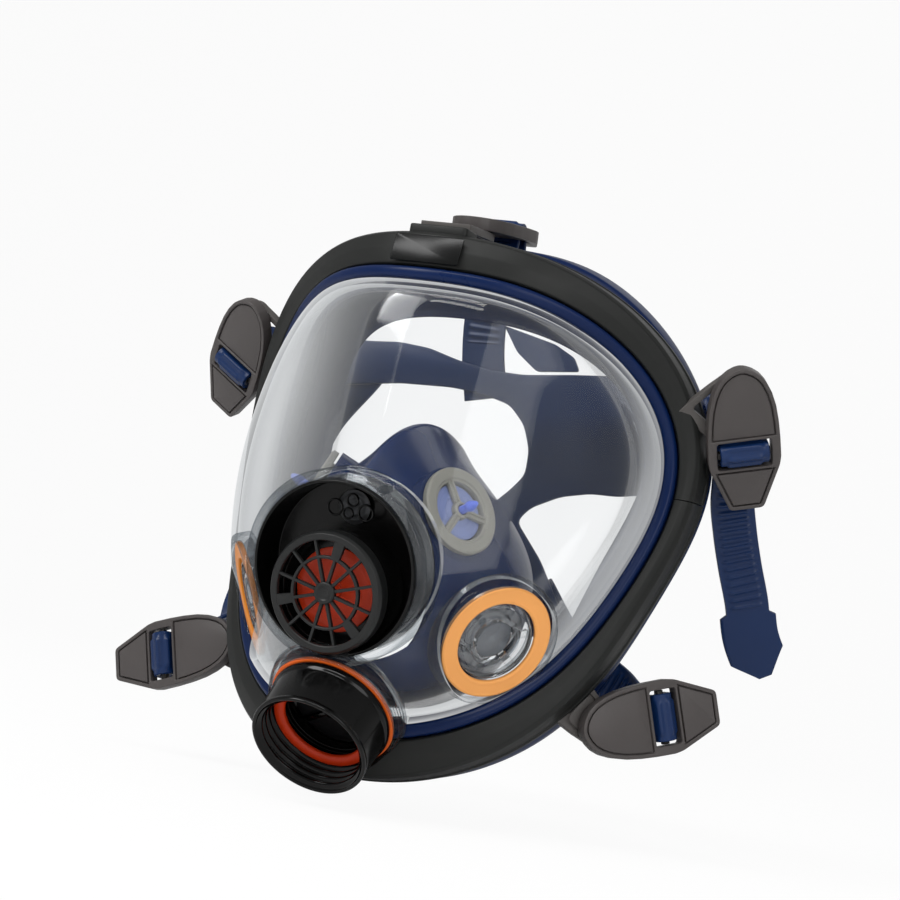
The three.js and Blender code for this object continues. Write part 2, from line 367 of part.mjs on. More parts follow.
// ---------------------------------------------------------------- head harness
{
  const under = (nm, x, z) => new THREE.Vector3(x, 0, z).applyMatrix4(BUCKLES[nm].m).toArray();
  const wid = nm => new THREE.Vector3(0, 1, 0).transformDirection(BUCKLES[nm].m).toArray();
  // flat head plate, outline in the x-z plane
  const outlineXZ = [[-79, 76], [-66, 76.3], [-53, 77.4], [-38.6, 76.3], [-24.8, 72.7], [-9.6, 70.1], [6, 69.8], [28.3, 72.4], [66, 75.7], [66, 27], [55.2, 24.9], [43.6, 24.5], [31, 21.5], [18.9, 15.2], [14, 9],
    [27.1, -5.4], [34.5, -16.7], [44, -32], [30, -38], [21.5, -22.9], [9.8, -8], [2.2, 3.5], [-0.1, 10.8], [3.8, 16.4], [8.8, 21.3], [14.2, 28.4], [14, 38.9], [9.9, 49], [2.1, 56.5], [-12.2, 59.9], [-26.2, 60.8], [-49.5, 59.8], [-79, 55.5]];
  const flat = plate(outlineXZ.map(([x, z]) => [x, -z]), 95, 97.4);
  flat.rotateX(-Math.PI / 2);
  let h = solid(flat);
  const arm = (pts, dirs, w, n = 14) => { h = h.add(solid(ribbon(pts, dirs, w, 2.2, n))); };
  arm([[52, 96.2, 51], [66, 96.5, 52], [84, 96.5, 57], [101, 92, 63], under('upper_left', 14, -20), under('upper_left', 17.5, -11)], [[0, 0, 1], [0, 0, 1], [0, 0.1, 1], [0, 0, 1], wid('upper_left'), wid('upper_left')], s => 46 - 27 * Math.min(1, s / 0.55));
  arm([[-68, 96.2, 66], [-80, 97.5, 66], [-92, 97, 67], [-102, 89, 67], under('upper_right', 17.5, -11)], [[0, 0, 1], [0, 0, 1], [0, 0, 1], [-0.3, 0, 1], wid('upper_right').map(q => -q)], 19);
  arm([[30, 96.2, -24], [42, 96, -36], [60, 93, -46], [76, 87, -54], [85, 78, -60], under('lower_left', 17.5, -11)], [[0.8, 0, 0.5], [0.6, 0, 0.8], [0.2, 0, 1], [0, 0, 1], [0, 0, 1], wid('lower_left')], 18);
  arm([[-70, 96.2, 60], [-82, 97, 40], [-90, 95, 10], [-95, 90, -20], [-100, 81, -46], [-104, 70, -62], under('lower_right', 17.5, -11)], [[0.7, 0, 0.7], [1, 0, 0.3], [1, 0, 0], [1, 0, 0.2], [0.7, 0, 0.7], [0.2, 0, 1], wid('lower_right').map(q => -q)], 18, 18);
  arm([[-11, 96.2, 63], [-14, 95.6, 76], [-14, 92, 92], [-10, 86, 105], [-3, 76, 112.5], under('top', 26, -13), under('top', 17.5, -11)], [[1, 0, 0.1], [1, 0, 0], [1, 0, 0], [1, 0, 0], [1, 0, 0], [1, 0, 0], [1, 0, 0]], 18);
  part('head_harness', geo(h), NAVY);
}

// ---------------------------------------------------------------- blank name plate on the upper frame half
{
  const t = Math.PI / 2, w = W(t), g = group(basis([0, edge(t).y + 1.2 + 0.34, edge(t).z + 6.6], [0, -1, 0.25], [0, 0, 1]));
  part('name_plate', box(-13, 13, -4.2, 4.2, 1.0, 1.6), [0x1b1c1c, 0.3, 0], g);
}

const out = new THREE.Group();
root.position.set(...ORIGIN_SHIFT);
out.add(root);
export default out;
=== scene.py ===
import math
import bpy
import bmesh
import numpy as np
from mathutils import Vector, Matrix


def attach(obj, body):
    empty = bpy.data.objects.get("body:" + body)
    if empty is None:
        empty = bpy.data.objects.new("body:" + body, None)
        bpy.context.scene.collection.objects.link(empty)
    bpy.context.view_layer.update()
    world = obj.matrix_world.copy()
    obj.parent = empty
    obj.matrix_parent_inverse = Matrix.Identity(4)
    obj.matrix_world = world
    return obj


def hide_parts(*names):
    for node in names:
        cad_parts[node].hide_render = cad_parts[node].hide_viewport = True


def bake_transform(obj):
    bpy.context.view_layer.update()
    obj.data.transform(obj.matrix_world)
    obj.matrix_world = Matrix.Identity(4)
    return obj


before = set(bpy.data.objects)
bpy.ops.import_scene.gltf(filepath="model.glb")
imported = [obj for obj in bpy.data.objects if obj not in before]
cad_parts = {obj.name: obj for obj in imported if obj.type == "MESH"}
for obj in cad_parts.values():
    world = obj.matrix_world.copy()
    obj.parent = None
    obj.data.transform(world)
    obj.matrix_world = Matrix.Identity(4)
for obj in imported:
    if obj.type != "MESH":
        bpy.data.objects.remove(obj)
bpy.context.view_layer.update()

# ------------------------------------------------------------------ frame: millimetres -> row frame metres
SH = np.array([4.980, -38.765, -10.067])
PI = math.pi


def row(V):
    return (np.asarray(V, float) + SH) / 1000.0


# ------------------------------------------------------------------ shared curves, the same as the solids
def R(t):
    s, c = np.sin, np.cos
    return 90.592 + 8.2526 * s(t) - 0.7508 * c(2 * t) + 5.0965 * s(3 * t) - 3.1884 * c(4 * t) - 0.2162 * s(5 * t) + 0.0148 * c(6 * t)


def Yb(x, z):
    return 0.0071 * x * x - 0.0011 * z * z - 0.0664e-6 * x ** 4 + 0.0123e-3 * x * x * z


def Wd(t):
    return 6.4584 * (1 + 1.2557 * np.sin(t) ** 2)


def dep(t):
    return 23.7 + 24.7 * np.sin(t) ** 2


def lip(t):
    return 23.4 - 15 * np.sin(t) ** 2 + 2 * np.sin(t)


def edge(t):
    x, z = R(t) * np.cos(t), R(t) * np.sin(t)
    return np.stack([x, Yb(x, z), z], -1)


def outw(t):
    a, b = edge(t - 1e-3), edge(t + 1e-3)
    v = np.stack([b[..., 2] - a[..., 2], 0 * a[..., 0], -(b[..., 0] - a[..., 0])], -1)
    return v / np.linalg.norm(v, axis=-1, keepdims=True)


def at(t, n, y):
    t = np.asarray(t, float)
    p = edge(t) + outw(t) * np.asarray(n, float)[..., None]
    p[..., 1] += y
    return p


def unit(v):
    v = np.asarray(v, float)
    return v / np.linalg.norm(v)


def basis(c, n, up=(0, 0, 1)):
    z = unit(n)
    x = unit(np.cross(up, z))
    y = np.cross(z, x)
    m = np.eye(4)
    m[:3, 0], m[:3, 1], m[:3, 2], m[:3, 3] = x, y, z, c
    return m


def tra(M, V):
    V = np.asarray(V, float)
    return V @ M[:3, :3].T + M[:3, 3]


def shiftm(x, y, z):
    m = np.eye(4)
    m[:3, 3] = (x, y, z)
    return m


def rotz(a):
    m = np.eye(4)
    m[0, 0] = m[1, 1] = math.cos(a)
    m[1, 0] = math.sin(a)
    m[0, 1] = -m[1, 0]
    return m


# ------------------------------------------------------------------ shape helpers: each returns (V, F) in mm
def fillet(pts, r=0.5, seg=4):
    out, n = [], len(pts)
    rr = r if isinstance(r, (list, tuple)) else [r] * n
    P = [np.array(p, float) for p in pts]
    for i in range(n):
        a, b, c = P[i - 1], P[i], P[(i + 1) % n]
        u, v = a - b, c - b
        lu, lv = np.linalg.norm(u), np.linalg.norm(v)
        ri = max(rr[i], 1e-3)
        p0, p2 = b + u / lu * min(ri, 0.46 * lu), b + v / lv * min(ri, 0.46 * lv)
        for k in range(seg + 1):
            s = k / seg
            out.append(p0 * (1 - s) ** 2 + 2 * b * s * (1 - s) + p2 * s * s)
    return np.array(out)


def grid(A, wrap_i=False, wrap_j=True):
    """A is an (n, m, 3) array of rings"""
    n, m = A.shape[:2]
    F = []
    for i in range(n if wrap_i else n - 1):
        i2 = (i + 1) % n
        for j in range(m if wrap_j else m - 1):
            j2 = (j + 1) % m
            F.append((i * m + j, i * m + j2, i2 * m + j2, i2 * m + j))
    return A.reshape(-1, 3), F


def merge(*parts):
    V, F, k = [], [], 0
    for v, f in parts:
        v = np.asarray(v, float).reshape(-1, 3)
        V.append(v)
        F += [tuple(i + k for i in q) for q in f]
        k += len(v)
    return np.concatenate(V), F


def lathe(pts, seg=96, r=0.4, fs=3, z_only=False):
    """closed (radius, z) profile turned round z"""
    p = fillet(pts, r, fs) if r else np.array(pts, float)
    p[:, 0] = np.maximum(p[:, 0], 0)
    a = np.arange(seg) / seg * 2 * PI
    A = np.stack([p[None, :, 0] * np.cos(a)[:, None], p[None, :, 0] * np.sin(a)[:, None], np.broadcast_to(p[None, :, 1], (seg, len(p)))], -1)
    return grid(A, True, True)


def prism(poly, z0, z1):
    p = np.array(poly, float)
    n = len(p)
    V = np.concatenate([np.c_[p, np.full(n, z0)], np.c_[p, np.full(n, z1)]])
    F = [tuple(range(n - 1, -1, -1)), tuple(range(n, 2 * n))]
    F += [(i, (i + 1) % n, n + (i + 1) % n, n + i) for i in range(n)]
    return V, F


def circle(r, n=64, x=0.0, y=0.0, rx=1.0, ry=1.0):
    a = np.arange(n) / n * 2 * PI
    return np.c_[x + r * rx * np.cos(a), y + r * ry * np.sin(a)]


def rect(x0, x1, y0, y1, r=0.0, seg=4):
    p = [(x0, y0), (x1, y0), (x1, y1), (x0, y1)]
    return fillet(p, r, seg) if r else np.array(p, float)


def inset(poly, d):
    """inward offset of a convex counter-clockwise outline"""
    p = np.array(poly, float)
    n = len(p)
    out = []
    for i in range(n):
        a, b, c = p[i - 1], p[i], p[(i + 1) % n]
        u, v = unit(b - a), unit(c - b)
        nu, nv = np.array([-u[1], u[0]]), np.array([-v[1], v[0]])
        h = unit(nu + nv)
        out.append(b + h * d / max(0.35, float(h @ nu)))
    return np.array(out)


def clip(poly, a, b, c):
    """keep the part of a polygon where a x + b y + c >= 0"""
    out, n = [], len(poly)
    for i in range(n):
        p, q = poly[i], poly[(i + 1) % n]
        dp, dq = a * p[0] + b * p[1] + c, a * q[0] + b * q[1] + c
        if dp >= 0:
            out.append(p)
        if (dp >= 0) != (dq >= 0):
            s = dp / (dp - dq)
            out.append(p + (q - p) * s)
    return np.array(out)


def spline(P, n, closed=False):
    P = np.array(P, float)
    if closed:
        k = len(P)
        P = np.concatenate([P[-3:], P, P[:3]])
    d = np.r_[0, np.cumsum(np.linalg.norm(np.diff(P, axis=0), axis=1) ** 0.75)]
    m = np.gradient(P, d, axis=0)
    if closed:
        s = np.linspace(d[3], d[3 + k], n, endpoint=False)
    else:
        s = np.linspace(0, d[-1], n)
    i = np.clip(np.searchsorted(d, s, side="right") - 1, 0, len(P) - 2)
    h = (d[i + 1] - d[i])[:, None]
    x = (s - d[i])[:, None] / h
    return P[i] * (2 * x ** 3 - 3 * x ** 2 + 1) + m[i] * h * (x ** 3 - 2 * x ** 2 + x) + P[i + 1] * (-2 * x ** 3 + 3 * x ** 2) + m[i + 1] * h * (x ** 3 - x ** 2)


def ribbon(P, D, width, thick, n=80, closed=False, rib=None, border=0.0, ends=True, lengthwise=0, na=19):
    """a moulded band: rounded section, optional ribs across (rib: (pitch, height)) or along, optional raised border"""
    C = spline(P, n, closed)
    Dv = spline(np.array(D, float), n, closed) if len(D) == len(P) else None
    # the direction list is resampled with the same parameter as the path
    PP = np.array(P, float)
    if closed:
        k = len(PP)
        PQ = np.concatenate([PP[-3:], PP, PP[:3]])
        DQ = np.concatenate([np.array(D, float)[-3:], np.array(D, float), np.array(D, float)[:3]])
        d = np.r_[0, np.cumsum(np.linalg.norm(np.diff(PQ, axis=0), axis=1) ** 0.75)]
        s = np.linspace(d[3], d[3 + k], n, endpoint=False)
    else:
        DQ = np.array(D, float)
        d = np.r_[0, np.cumsum(np.linalg.norm(np.diff(PP, axis=0), axis=1) ** 0.75)]
        s = np.linspace(0, d[-1], n)
    Dv = np.stack([np.interp(s, d, DQ[:, k2]) for k2 in range(3)], -1)
    if closed:
        T = np.roll(C, -1, 0) - np.roll(C, 1, 0)
    else:
        T = np.gradient(C, axis=0)
    T /= np.linalg.norm(T, axis=1, keepdims=True)
    Wv = Dv - T * (Dv * T).sum(1, keepdims=True)
    Wv /= np.linalg.norm(Wv, axis=1, keepdims=True)
    if not closed:
        for _ in range(3):
            Wv[1:-1] = (Wv[:-2] + 2 * Wv[1:-1] + Wv[2:]) / 4
        Wv /= np.linalg.norm(Wv, axis=1, keepdims=True)
    H = np.cross(T, Wv)
    arc = np.r_[0, np.cumsum(np.linalg.norm(np.diff(C, axis=0), axis=1))]
    w = np.array([width(a, arc[-1]) if callable(width) else width for a in arc])
    a = np.linspace(-1, 1, na)
    top = [(x, 1.0) for x in a * 0.97]
    bot = [(x, -1.0) for x in a[::-1] * 0.97]
    sec = np.array(top + [(1.0, 0.45), (1.0, -0.45)] + bot + [(-1.0, -0.45), (-1.0, 0.45)])
    A = np.zeros((n, len(sec), 3))
    for i in range(n):
        x = sec[:, 0] * w[i] / 2
        y = sec[:, 1] * thick / 2
        up = (sec[:, 1] >= 1.0) & (np.abs(sec[:, 0]) < 0.66)
        if rib is not None and rib[2] <= arc[i] <= arc[-1] - rib[3]:
            y = y + up * rib[1] * (0.5 + 0.5 * math.cos(2 * PI * arc[i] / rib[0])) ** 1.5
        if lengthwise:
            y = y + up * 0.45 * (0.5 + 0.5 * np.cos(sec[:, 0] * PI * lengthwise)) ** 1.5
        if border:
            y = y + ((sec[:, 1] >= 1.0) & (np.abs(sec[:, 0]) > 0.8) & (np.abs(sec[:, 0]) < 0.98)) * border
        A[i] = C[i] + Wv[i] * x[:, None] + H[i] * y[:, None]
    V, F = grid(A, closed, True)
    if not closed and ends:
        m = len(sec)
        F.append(tuple(range(m)))
        F.append(tuple((n - 1) * m + j for j in range(m - 1, -1, -1)))
    return V, F


# ------------------------------------------------------------------ objects
COL = bpy.context.scene.collection


def raw(name, V, F, M=None, weld=True):
    if M is not None:
        V = tra(M, V)
    me = bpy.data.meshes.new(name)
    me.from_pydata(row(V).tolist(), [], [tuple(f) for f in F])
    bm = bmesh.new()
    bm.from_mesh(me)
    if weld:
        bmesh.ops.remove_doubles(bm, verts=bm.verts, dist=2e-6)
        bmesh.ops.dissolve_degenerate(bm, dist=1e-6, edges=bm.edges)
    bmesh.ops.recalc_face_normals(bm, faces=bm.faces)
    bm.to_mesh(me)
    bm.free()
    o = bpy.data.objects.new(name, me)
    COL.objects.link(o)
    return o


def bake(o):
    bpy.context.view_layer.update()
    me = bpy.data.meshes.new_from_object(o.evaluated_get(bpy.context.evaluated_depsgraph_get()))
    o.modifiers.clear()
    o.data = me
    return o


def boolean(o, cutters, op="DIFFERENCE"):
    objs = []
    for c in cutters:
        V, F = c[0], c[1]
        k = raw("cut", V, F, c[2] if len(c) > 2 else None)
        m = o.modifiers.new("b", "BOOLEAN")
        m.operation, m.solver, m.object = op, "EXACT", k
        objs.append(k)
    bake(o)
    for k in objs:
        bpy.data.objects.remove(k)
    return o


def volume(o):
    bm = bmesh.new()
    bm.from_mesh(o.data)
    v = bm.calc_volume() * 1e9
    bm.free()
    return v


def checked(o, V, F, M, op="DIFFERENCE"):
    """one boolean at a time; the cutter is nudged and the step repeated if the solver turned it inside out"""
    v0, keep = volume(o), o.data.copy()
    for k in range(8):
        W = np.array(V, float) * [1 + 0.0031 * k, 1 + 0.0031 * k, 1.0] + [0.0, 0.0, 0.011 * k]
        boolean(o, [(W, F, M)], op)
        v1 = volume(o)
        lo, hi = (0.6 * v0, 1.0005 * v0) if op == "DIFFERENCE" else (0.9995 * v0, 1.5 * v0)
        if lo <= v1 <= hi:
            return o
        o.data = keep.copy()
    return o


def bevel(o, w=0.3, seg=2, angle=32):
    m = o.modifiers.new("v", "BEVEL")
    m.width, m.segments, m.limit_method, m.angle_limit = w / 1000, seg, "ANGLE", math.radians(angle)
    m.use_clamp_overlap = True
    return bake(o)


def done(o, material, body="mask", reps=(), angle=38, blend=None):
    me = o.data
    me.materials.clear()
    me.materials.append(material)
    me.polygons.foreach_set("use_smooth", [True] * len(me.polygons))
    me.set_sharp_from_angle(angle=math.radians(angle))
    if blend:
        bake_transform(o)
    else:
        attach(o, body)
    if reps:
        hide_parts(*reps)
    return o


def fuse(a, *others):
    """joins meshes into one object, no boolean"""
    bm = bmesh.new()
    bm.from_mesh(a.data)
    for o in others:
        bm.from_mesh(o.data)
    me = bpy.data.meshes.new(a.name)
    bm.to_mesh(me)
    bm.free()
    a.data = me
    for o in others:
        bpy.data.objects.remove(o)
    return a


# ------------------------------------------------------------------ materials
def lin(h):
    c = [int(h[i:i + 2], 16) / 255 for i in (1, 3, 5)]
    return tuple(x / 12.92 if x <= 0.04045 else ((x + 0.055) / 1.055) ** 2.4 for x in c) + (1.0,)


def plastic(name, base, rough=0.4, metal=0.0, var=0.12, grain=2600, bump=0.12, coat=0.0, spec=0.5, sheen=0.0, sub=0.0, mottled=45, emis=None):
    m = bpy.data.materials.new(name)
    m.use_nodes = True
    nt = m.node_tree
    N, L = nt.nodes, nt.links
    b = N["Principled BSDF"]
    tc = N.new("ShaderNodeTexCoord")
    big = N.new("ShaderNodeTexNoise")
    big.inputs["Scale"].default_value, big.inputs["Detail"].default_value = mottled, 6
    fine = N.new("ShaderNodeTexNoise")
    fine.inputs["Scale"].default_value, fine.inputs["Detail"].default_value = grain, 3
    L.new(tc.outputs["Object"], big.inputs["Vector"])
    L.new(tc.outputs["Object"], fine.inputs["Vector"])
    mix = N.new("ShaderNodeMix")
    mix.data_type = "RGBA"
    c = lin(base)
    mix.inputs[6].default_value = tuple(x * (1 - var) for x in c[:3]) + (1,)
    mix.inputs[7].default_value = tuple(min(1, x * (1 + var)) for x in c[:3]) + (1,)
    L.new(big.outputs["Fac"], mix.inputs[0])
    L.new(mix.outputs[2], b.inputs["Base Color"])
    mr = N.new("ShaderNodeMapRange")
    mr.inputs[1].default_value, mr.inputs[2].default_value = 0.25, 0.75
    mr.inputs[3].default_value, mr.inputs[4].default_value = rough * 0.86, min(1, rough * 1.16)
    L.new(big.outputs["Fac"], mr.inputs[0])
    L.new(mr.outputs[0], b.inputs["Roughness"])
    bp = N.new("ShaderNodeBump")
    bp.inputs["Strength"].default_value, bp.inputs["Distance"].default_value = bump, 0.00012
    L.new(fine.outputs["Fac"], bp.inputs["Height"])
    L.new(bp.outputs["Normal"], b.inputs["Normal"])
    b.inputs["Metallic"].default_value = metal
    b.inputs["Specular IOR Level"].default_value = spec
    b.inputs["Coat Weight"].default_value = coat
    b.inputs["Coat Roughness"].default_value = 0.08
    if sub:
        b.inputs["Subsurface Weight"].default_value = sub
        b.inputs["Subsurface Radius"].default_value = (0.004, 0.0025, 0.002)
        b.inputs["Subsurface Scale"].default_value = 1.0
    return m


def clear(name, tint=(0.97, 0.98, 0.985), gloss=1.0, rough=0.03, haze=0.0, ior=1.45, edge_tint=(0.8, 0.84, 0.86), edge_dark=0.35, bump=0.02, painted_glare=0.0):
    """thin clear moulding: passes light straight through, mirrors at its faces, darker where seen edge-on; optionally
    a painted reflection, a white emission glow where the sheet is seen nearly edge-on
    """
    m = bpy.data.materials.new(name)
    m.use_nodes = True
    nt = m.node_tree
    N, L = nt.nodes, nt.links
    N.remove(N["Principled BSDF"])
    out = N["Material Output"]
    tc = N.new("ShaderNodeTexCoord")
    noise = N.new("ShaderNodeTexNoise")
    noise.inputs["Scale"].default_value, noise.inputs["Detail"].default_value = 28, 2
    L.new(tc.outputs["Object"], noise.inputs["Vector"])
    bp = N.new("ShaderNodeBump")
    bp.inputs["Strength"].default_value, bp.inputs["Distance"].default_value = bump, 0.001
    L.new(noise.outputs["Fac"], bp.inputs["Height"])
    tr, gl, df = N.new("ShaderNodeBsdfTransparent"), N.new("ShaderNodeBsdfGlossy"), N.new("ShaderNodeBsdfDiffuse")
    lw = N.new("ShaderNodeLayerWeight")
    lw.inputs["Blend"].default_value = edge_dark
    L.new(bp.outputs["Normal"], gl.inputs["Normal"])
    ct = N.new("ShaderNodeMix")
    ct.data_type = "RGBA"
    ct.inputs[6].default_value = tint + (1,)
    ct.inputs[7].default_value = edge_tint + (1,)
    L.new(lw.outputs["Facing"], ct.inputs[0])
    L.new(ct.outputs[2], tr.inputs["Color"])
    gl.inputs["Roughness"].default_value = rough
    df.inputs["Color"].default_value = (0.85, 0.87, 0.9, 1)
    fr = N.new("ShaderNodeFresnel")
    fr.inputs["IOR"].default_value = ior
    L.new(bp.outputs["Normal"], fr.inputs["Normal"])
    mu = N.new("ShaderNodeMath")
    mu.operation = "MULTIPLY"
    mu.use_clamp = True
    mu.inputs[1].default_value = gloss
    L.new(fr.outputs[0], mu.inputs[0])
    hz = N.new("ShaderNodeMath")
    hz.operation = "MULTIPLY"
    hz.inputs[1].default_value = haze
    L.new(noise.outputs["Fac"], hz.inputs[0])
    m1, m2 = N.new("ShaderNodeMixShader"), N.new("ShaderNodeMixShader")
    L.new(hz.outputs[0], m1.inputs[0])
    L.new(tr.outputs[0], m1.inputs[1])
    L.new(df.outputs[0], m1.inputs[2])
    L.new(mu.outputs[0], m2.inputs[0])
    L.new(m1.outputs[0], m2.inputs[1])
    L.new(gl.outputs[0], m2.inputs[2])
    if not painted_glare:
        L.new(m2.outputs[0], out.inputs["Surface"])
        return m
    # painted reflection: a white emission glow where the sheet is seen nearly edge-on, standing in for the glare of
    # the bright surroundings on the lens
    geo, pw, vm = N.new("ShaderNodeLayerWeight"), N.new("ShaderNodeMath"), N.new("ShaderNodeMath")
    geo.inputs["Blend"].default_value = 0.5
    pw.operation, vm.operation = "POWER", "MULTIPLY"
    pw.inputs[1].default_value, vm.inputs[1].default_value = 2.8, painted_glare
    L.new(geo.outputs["Facing"], pw.inputs[0])
    L.new(pw.outputs[0], vm.inputs[0])
    em, m3 = N.new("ShaderNodeEmission"), N.new("ShaderNodeMixShader")
    em.inputs["Color"].default_value, em.inputs["Strength"].default_value = (0.95, 0.965, 0.975, 1), 0.88
    L.new(vm.outputs[0], m3.inputs[0])
    L.new(m2.outputs[0], m3.inputs[1])
    L.new(em.outputs[0], m3.inputs[2])
    L.new(m3.outputs[0], out.inputs["Surface"])
    return m


M_BEZEL = plastic("m_bezel", "#1d1e1d", 0.42, grain=2200, bump=0.16, var=0.1, spec=0.2)
M_NAVY = plastic("m_navy", "#071c44", 0.3, var=0.12, grain=1500, bump=0.05, spec=0.16, coat=0.0)
M_CUP = plastic("m_cup", "#07224f", 0.2, var=0.12, grain=1200, bump=0.04, spec=0.22, coat=0.05)
M_STRAP = plastic("m_strap", "#0d264e", 0.34, var=0.1, grain=1800, bump=0.05, spec=0.25)
M_BUCKLE = plastic("m_buckle", "#474342", 0.4, var=0.06, grain=2400, bump=0.14, spec=0.3)
M_BUCKLE_D = plastic("m_buckle_dark", "#262423", 0.42, var=0.06, grain=2400, bump=0.14, spec=0.3)
M_BRACKET = plastic("m_bracket", "#4d4a48", 0.42, var=0.07, grain=2400, bump=0.14, spec=0.3)
M_STEEL = plastic("m_steel", "#a9abad", 0.28, metal=1.0, var=0.08, grain=3500, bump=0.06)
M_HOUSING = plastic("m_housing", "#070707", 0.22, var=0.2, grain=1900, bump=0.08, spec=0.18)
M_GRILLE = plastic("m_grille", "#161717", 0.38, var=0.08, grain=2400, bump=0.12, spec=0.3)
M_SPEECH = plastic("m_speech", "#050506", 0.25, var=0.1, grain=2400, bump=0.1, spec=0.3)
M_FOIL = plastic("m_foil", "#3c3d3f", 0.38, metal=0.8, var=0.06, grain=900, bump=0.2)
M_RED = plastic("m_red", "#c4330b", 0.4, var=0.16, grain=1600, bump=0.06, spec=0.3)
M_PORT = plastic("m_port", "#040404", 0.12, var=0.2, grain=1700, bump=0.04, spec=0.22)
M_ORANGE = plastic("m_orange", "#e8641a", 0.4, var=0.06, grain=1600, bump=0.06, spec=0.3)
M_LIGHT = plastic("m_light_orange", "#f0a55a", 0.42, var=0.05, grain=1600, bump=0.06, spec=0.3)
M_AMBER = plastic("m_amber", "#d47f24", 0.42, var=0.05, grain=1600, bump=0.06, spec=0.3)
M_SEAT = plastic("m_seat", "#8f8d84", 0.4, var=0.06, grain=2200, bump=0.1, spec=0.35)
M_BLUE = plastic("m_blue", "#5f7aea", 0.3, var=0.08, grain=1500, bump=0.05, spec=0.35)
# painted shade: near-black colour for the filter port's valve disc, standing for the shade deep inside the port
M_PORT_DISC_SHADE = plastic("m_valve_dark", "#0c0c0e", 0.35, var=0.15, grain=1500, bump=0.06, spec=0.3)
M_PALE = clear("m_valve_pale", tint=(0.62, 0.66, 0.7), gloss=0.5, rough=0.2, haze=0.3, edge_tint=(0.4, 0.44, 0.48), edge_dark=0.4)
M_VEIL = plastic("m_valve_grey", "#7f8cbc", 0.32, var=0.12, grain=1500, bump=0.05, spec=0.35, mottled=160)
M_PLATE = plastic("m_plate", "#0a0b0b", 0.2, var=0.12, grain=1700, bump=0.05, spec=0.2)
# the lens gets a painted reflection: a white emission glow where its sheet is seen nearly edge-on
M_LENS = clear("m_lens", tint=(0.975, 0.98, 0.983), gloss=0.4, rough=0.04, haze=0.02, edge_tint=(0.86, 0.88, 0.89), edge_dark=0.3, bump=0.01, painted_glare=0.8)
M_BOSS = clear("m_boss", tint=(0.93, 0.94, 0.95), gloss=0.3, rough=0.035, haze=0.015, edge_tint=(0.5, 0.53, 0.55), edge_dark=0.4, bump=0.02)
M_INSERT = clear("m_insert", tint=(0.9, 0.91, 0.92), gloss=1.2, rough=0.03, haze=0.05, edge_tint=(0.6, 0.62, 0.63), edge_dark=0.5)

# ------------------------------------------------------------------ clamp frame and face seal
NT = 288
TT = np.arange(NT) / NT * 2 * PI


def ring(profile, r=0.5, seg=3):
    A = []
    for t in TT:
        p = fillet(profile(t), r, seg)
        A.append(at(np.full(len(p), t), p[:, 0], p[:, 1]))
    return grid(np.array(A), True, True)


def bez_profile(t):
    w = Wd(t)
    return [(0.1, 1.2), (1.0, 0.1), (w * 0.5, 1.2), (w - 1.3, 3.0), (w - 0.1, 5.2), (w + 0.3, 9), (w + 0.5, 13.4), (w + 1.1, 13.9), (w + 1.15, 16.4), (w + 0.5, 17), (w - 1.7, 17), (w - 1.6, 8), (1.0, 4.2), (0.1, 3.8)]


def hump(t):
    g = math.degrees(t)
    return 5.2 * (math.exp(-((g - 62) / 17) ** 2) + math.exp(-((g - 118) / 17) ** 2))


def seal_profile(t):
    w, D, a, h = Wd(t), dep(t), lip(t), hump(t)
    return [(-5.15, -0.5), (-4.6, -1.7), (-2.8, -2.2), (-1.0, -1.9), (-0.3, -0.6), (-0.35, 4.4), (w - 2.2, 9.0), (w - 2.2, 17.2), (w - 1 + 0.8 * h, 18.6), (w + 0.5 + h, 18.6 + 0.45 * (D - 16)),
            (w - 4 + 0.5 * h, D + 3), (-a + 4, D + 2.4), (-a, D), (-a + 3.2, D - 1.2), (w - 8, D - 0.6), (w - 5, 17.5), (-8.6, 10.6), (-8.6, 6.6), (-5.15, 6.4)]


AEX, AAD = 0.2378, 0.7483
N_EX, N_AD = (0, -math.cos(AEX), -math.sin(AEX)), (0, -math.cos(AAD), -math.sin(AAD))
m_ex = basis((0, -38.9, -26.2), N_EX)
m_ad0 = basis((0, -32.49, -89.96), N_AD)
m_ad = m_ad0 @ shiftm(0, 0, -19.4)


def n_sp(s):
    return (s * math.sin(0.968) * math.cos(0.384), -math.cos(0.968) * math.cos(0.384), -math.sin(0.384))


def n_cv(s):
    return (s * math.sin(1.091) * math.cos(-0.395), -math.cos(1.091) * math.cos(-0.395), -math.sin(-0.395))


def m_sp(s):
    return basis((s * 51.75, 0.02, -41.94), n_sp(s))


def m_cv(s):
    return basis((s * 30.43, -5.3, 3.06), n_cv(s))


def cyl(r, z0, z1, seg=96, x=0, y=0):
    return prism(circle(r, seg, x, y), z0, z1)


def block(x0, x1, y0, y1, z0, z1):
    return prism(rect(x0, x1, y0, y1), z0, z1)


